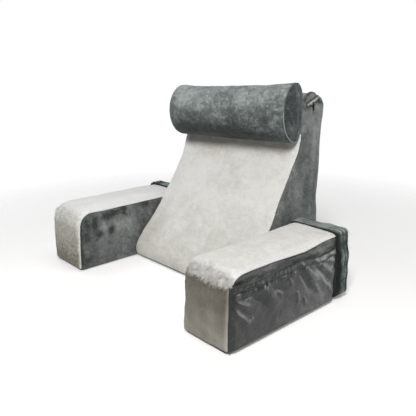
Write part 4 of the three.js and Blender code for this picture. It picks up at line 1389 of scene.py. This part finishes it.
picker = np.random.default_rng(4)
paths = []
for k in range(THREADS):
    z = FRAYED_TOP - FRAYED_RUN * (k + picker.uniform(-0.4, 0.4)) / THREADS
    length = picker.uniform(*SHORT_THREADS) if k % 9 != 4 else LONG_THREAD
    root = np.array([0.3715 - 0.5 * max(0, z - 0.170), 0.0605, z])
    way = np.array([picker.normal(0.15, 0.25), 0.75, picker.normal(-0.45, 0.35)])
    curl = np.array([picker.normal(0, 0.3), picker.normal(-0.2, 0.3), picker.normal(-0.5, 0.3)])
    path = [root + length * (s * way + s * s * curl) for s in np.linspace(0, 1, THREAD_POINTS)]
    paths.append([np.array([min(at[0], FURTHEST_OUT), at[1], at[2]]) for at in path])
threads = tubes("strap_right_threads", paths, THREAD_RADIUS, 4)
paint_nap_and_light(threads, np.full(len(threads.data.vertices), 0.1))
dress(threads, "strap_cloth", strap_velvet)

# %% [markdown]
# ## Hem stitches
# A row of stitches holds the pocket's hem. On a picture of cloth they would be flat lines.
# Here each stitch is a short tube that dips into the cloth at both ends.
# The row follows the line of grid points that runs along the hem, so it keeps to every gather.

# %% Hem stitches
STITCH_STEP = 5
STITCH_LENGTH = 3.4
STITCH_RADIUS = 0.00028
STITCH_SHAPE = [
    # share of the stitch's length, height over the cloth in mm
    (0, -0.2), (0.2, 0.25), (0.8, 0.25), (1, -0.2),
]
cloth = points_of(pocket)[:columns * rows].reshape(columns, rows, 3) / MM
line = cloth[:, int(round(STITCH_ROW * POCKET_ROWS))]
paths = []
for at in np.arange(POCKET["front"] + 8, POCKET["rear"] - 10, STITCH_STEP):
    path = []
    for share, lift in STITCH_SHAPE:
        along = at + STITCH_LENGTH * share
        height = np.interp(along, line[:, 1], line[:, 0]) + lift
        path.append(np.array([height, along, np.interp(along, line[:, 1], line[:, 2])]) * MM)
    paths.append(path)
stitches = tubes("pocket_hem_stitches", paths, STITCH_RADIUS, 5)
paint_nap_and_light(stitches, np.full(len(stitches.data.vertices), 0.12))
dress(stitches, "pocket_cloth", pocket_satin)

# %% [markdown]
# ## The zip's route
# A zip with a grey tape closes the cover across the top of the wedge.
# It climbs the right side panel, goes over the edge and runs to the left one.
# An array along a curve would twist at the two bends, so the route is a row of stops.
# Each stop keeps the place, the way across the zip and the way out of the cloth.

# %% Zip route
ZIP_RISE = [(78, 466.5), (94.5, 472.5), (108.5, 478), (117.5, 482)]
ZIP_NOTCH = (128, 487)
TOP_HALF = 218.5
ZIP_BEND = 8
ZIP_SLOPE = math.atan2(ZIP_RISE[-1][1] - ZIP_RISE[0][1], ZIP_RISE[-1][0] - ZIP_RISE[0][0])


def zip_stop(x, y, z, turned):
    """A place on the zip with the way across it and the way out of the cloth."""
    lean = (1 - turned) * (math.pi / 2 - ZIP_SLOPE)
    turn = turned * math.pi / 2
    across = Vector((0, -math.cos(lean), math.sin(lean)))
    out = Vector((math.cos(turn), 0, 0)) + Vector((0, math.sin(lean), math.cos(lean))) * math.sin(turn)
    return Vector((x, y, z)), across, out


def zip_stops():
    """Stops up the right panel, round the edge, over the top and down the left panel."""
    stops = [zip_stop(TOP_HALF, y, z, 0) for y, z in ZIP_RISE]
    for t in (0.2, 0.4, 0.6, 0.78, 0.92):
        climb = math.sin(t * math.pi / 2)
        y = ZIP_RISE[-1][0] + (ZIP_NOTCH[0] - ZIP_RISE[-1][0]) * climb
        z = ZIP_RISE[-1][1] + (ZIP_NOTCH[1] - ZIP_RISE[-1][1]) * climb
        stops.append(zip_stop(TOP_HALF - ZIP_BEND * (1 - math.cos(t * math.pi / 2)), y, z, t))
    stops += [zip_stop(share * TOP_HALF, *ZIP_NOTCH, 1) for share in (0.95, 0.7, 0.35, 0)]
    flipped = [tuple(Vector((-v.x, v.y, v.z)) for v in stop) for stop in stops[:-1]]
    return stops + flipped[::-1]


stops = zip_stops()
route_run = [0.0]
for a, b in zip(stops, stops[1:]):
    route_run.append(route_run[-1] + (b[0] - a[0]).length)
print("zip route", round(route_run[-1]), "mm long")


def on_zip(at):
    """The place, the way across and the way out at a distance along the zip, in mm."""
    k = int(np.clip(np.searchsorted(route_run, at) - 1, 0, len(stops) - 2))
    share = (at - route_run[k]) / (route_run[k + 1] - route_run[k])
    place, across, out = [a.lerp(b, share) for a, b in zip(stops[k], stops[k + 1])]
    place.y += WEDGE_SKEW * place.x
    return place, across.normalized(), out.normalized(), (stops[k + 1][0] - stops[k][0]).normalized()


print("zip stops:", len(stops))

# %% [markdown]
# ## The zip's teeth
# Each tooth is a small rounded block, set in turn on one tape and on the other.
# Copies of one tooth would do, but one mesh of all teeth is easier to export.
# So a loop makes each tooth where it belongs, from three rings of the same eight points.

# %% Metal
def metal_finish(name, colour, rough):
    """Worn metal: dark tarnish and bright metal in patches."""
    made, tree, shader = new_material(name)
    worn = noise_node(tree, own_place(tree), 240, 4, 0.6)
    tarnish = tuple(0.14 * c for c in colour)
    tree.links.new(ramp(tree, worn, [(0.42, tarnish), (0.56, colour)]), shader.inputs["Base Color"])
    tree.links.new(maths(tree, "MULTIPLY_ADD", worn, 0.3, rough), shader.inputs["Roughness"])
    set_sockets(shader, {"Metallic": 0.5})
    return made


champagne = metal_finish("champagne_metal", (0.97, 0.95, 0.90), 0.20)
print("metal:", champagne.name)

# %% Zip teeth
TOOTH_STEP = 1.55
TOOTH_LEVELS = [
    # height over the cloth in mm, and how much shorter and narrower the tooth is there
    (0.9, 1.0, 1.0), (2.5, 1.0, 1.0), (3.0, 0.6, 0.96),
]
TOOTH_PROFILE = [
    # across the zip, half length along it
    (-0.4, 0.50), (1.0, 0.42), (3.1, 0.62), (3.25, 0.45),
]
TOOTH_RING = [0, 2, 4, 6, 7, 5, 3, 1]

points, faces = [], []
steps = int(route_run[-1] / TOOTH_STEP)
for k in range(steps):
    place, across, out, ahead = on_zip((k + 0.5) * TOOTH_STEP)
    hand = 1 if k % 2 else -1
    first = len(points)
    for level, shrink, narrow in TOOTH_LEVELS:
        for reach, half in TOOTH_PROFILE:
            middle = place + across * (hand * reach * narrow) + out * level
            points.append((middle + ahead * half * shrink) * MM)
            points.append((middle - ahead * half * shrink) * MM)
    ring = TOOTH_RING if hand > 0 else TOOTH_RING[::-1]
    for level in range(2):
        low, high = first + level * 8, first + (level + 1) * 8
        faces += [(low + a, low + b, high + b, high + a) for a, b in zip(ring, ring[1:] + ring[:1])]
    faces.append(tuple(first + 16 + a for a in ring))
zip_teeth = piece_of("zip_teeth", points, faces)
dress(zip_teeth, "zip_metal", champagne, "zip_chain")
zip_teeth.data.polygons.foreach_set("use_smooth", np.zeros(len(zip_teeth.data.polygons), bool))

# %% [markdown]
# ## Zip tape, slider and pull
# They could be built again as meshes, but the solid model has them fine enough.
# So these three only get a finish.
# The tape is woven, which a wave pattern shows well enough, since it is seen only as a thin line.
# A bevel rounds the metal parts' edges, and without it they would look cut from card.

# %% Zip tape, slider and pull
def woven_tape(name, dark, light):
    """Cloth with fine ribs along one way."""
    made, tree, shader = new_material(name)
    ribs = tree.nodes.new("ShaderNodeTexWave")
    set_sockets(ribs, {"Scale": 320, "Distortion": 1.2})
    tree.links.new(own_place(tree), ribs.inputs["Vector"])
    tree.links.new(ramp(tree, ribs.outputs["Fac"], [(0.2, dark), (0.8, light)]), shader.inputs["Base Color"])
    shader.inputs["Roughness"].default_value = 0.85
    tree.links.new(bump(tree, ribs.outputs["Fac"], 0.0005, 0.8), shader.inputs["Normal"])
    return made


def repaint(node, material, bevel=0.0):
    """Gives a solid of the model a finish, and rounds its edges if a bevel is given."""
    obj = nodes[node]
    obj.data.materials.clear()
    obj.data.materials.append(material)
    if bevel:
        soft_edge = obj.modifiers.new("soft_edge", "BEVEL")
        soft_edge.width = bevel
        soft_edge.segments = 3
    print(node, "has a new finish")


repaint("zip_tape", woven_tape("zip_tape_cloth", (0.030, 0.036, 0.036), (0.085, 0.095, 0.092)))
repaint("zip_slider", metal_finish("slider_metal", (0.97, 0.96, 0.92), 0.16), 0.0006)
repaint("zip_pull", metal_finish("pull_metal", (0.035, 0.035, 0.037), 0.3), 0.0004)
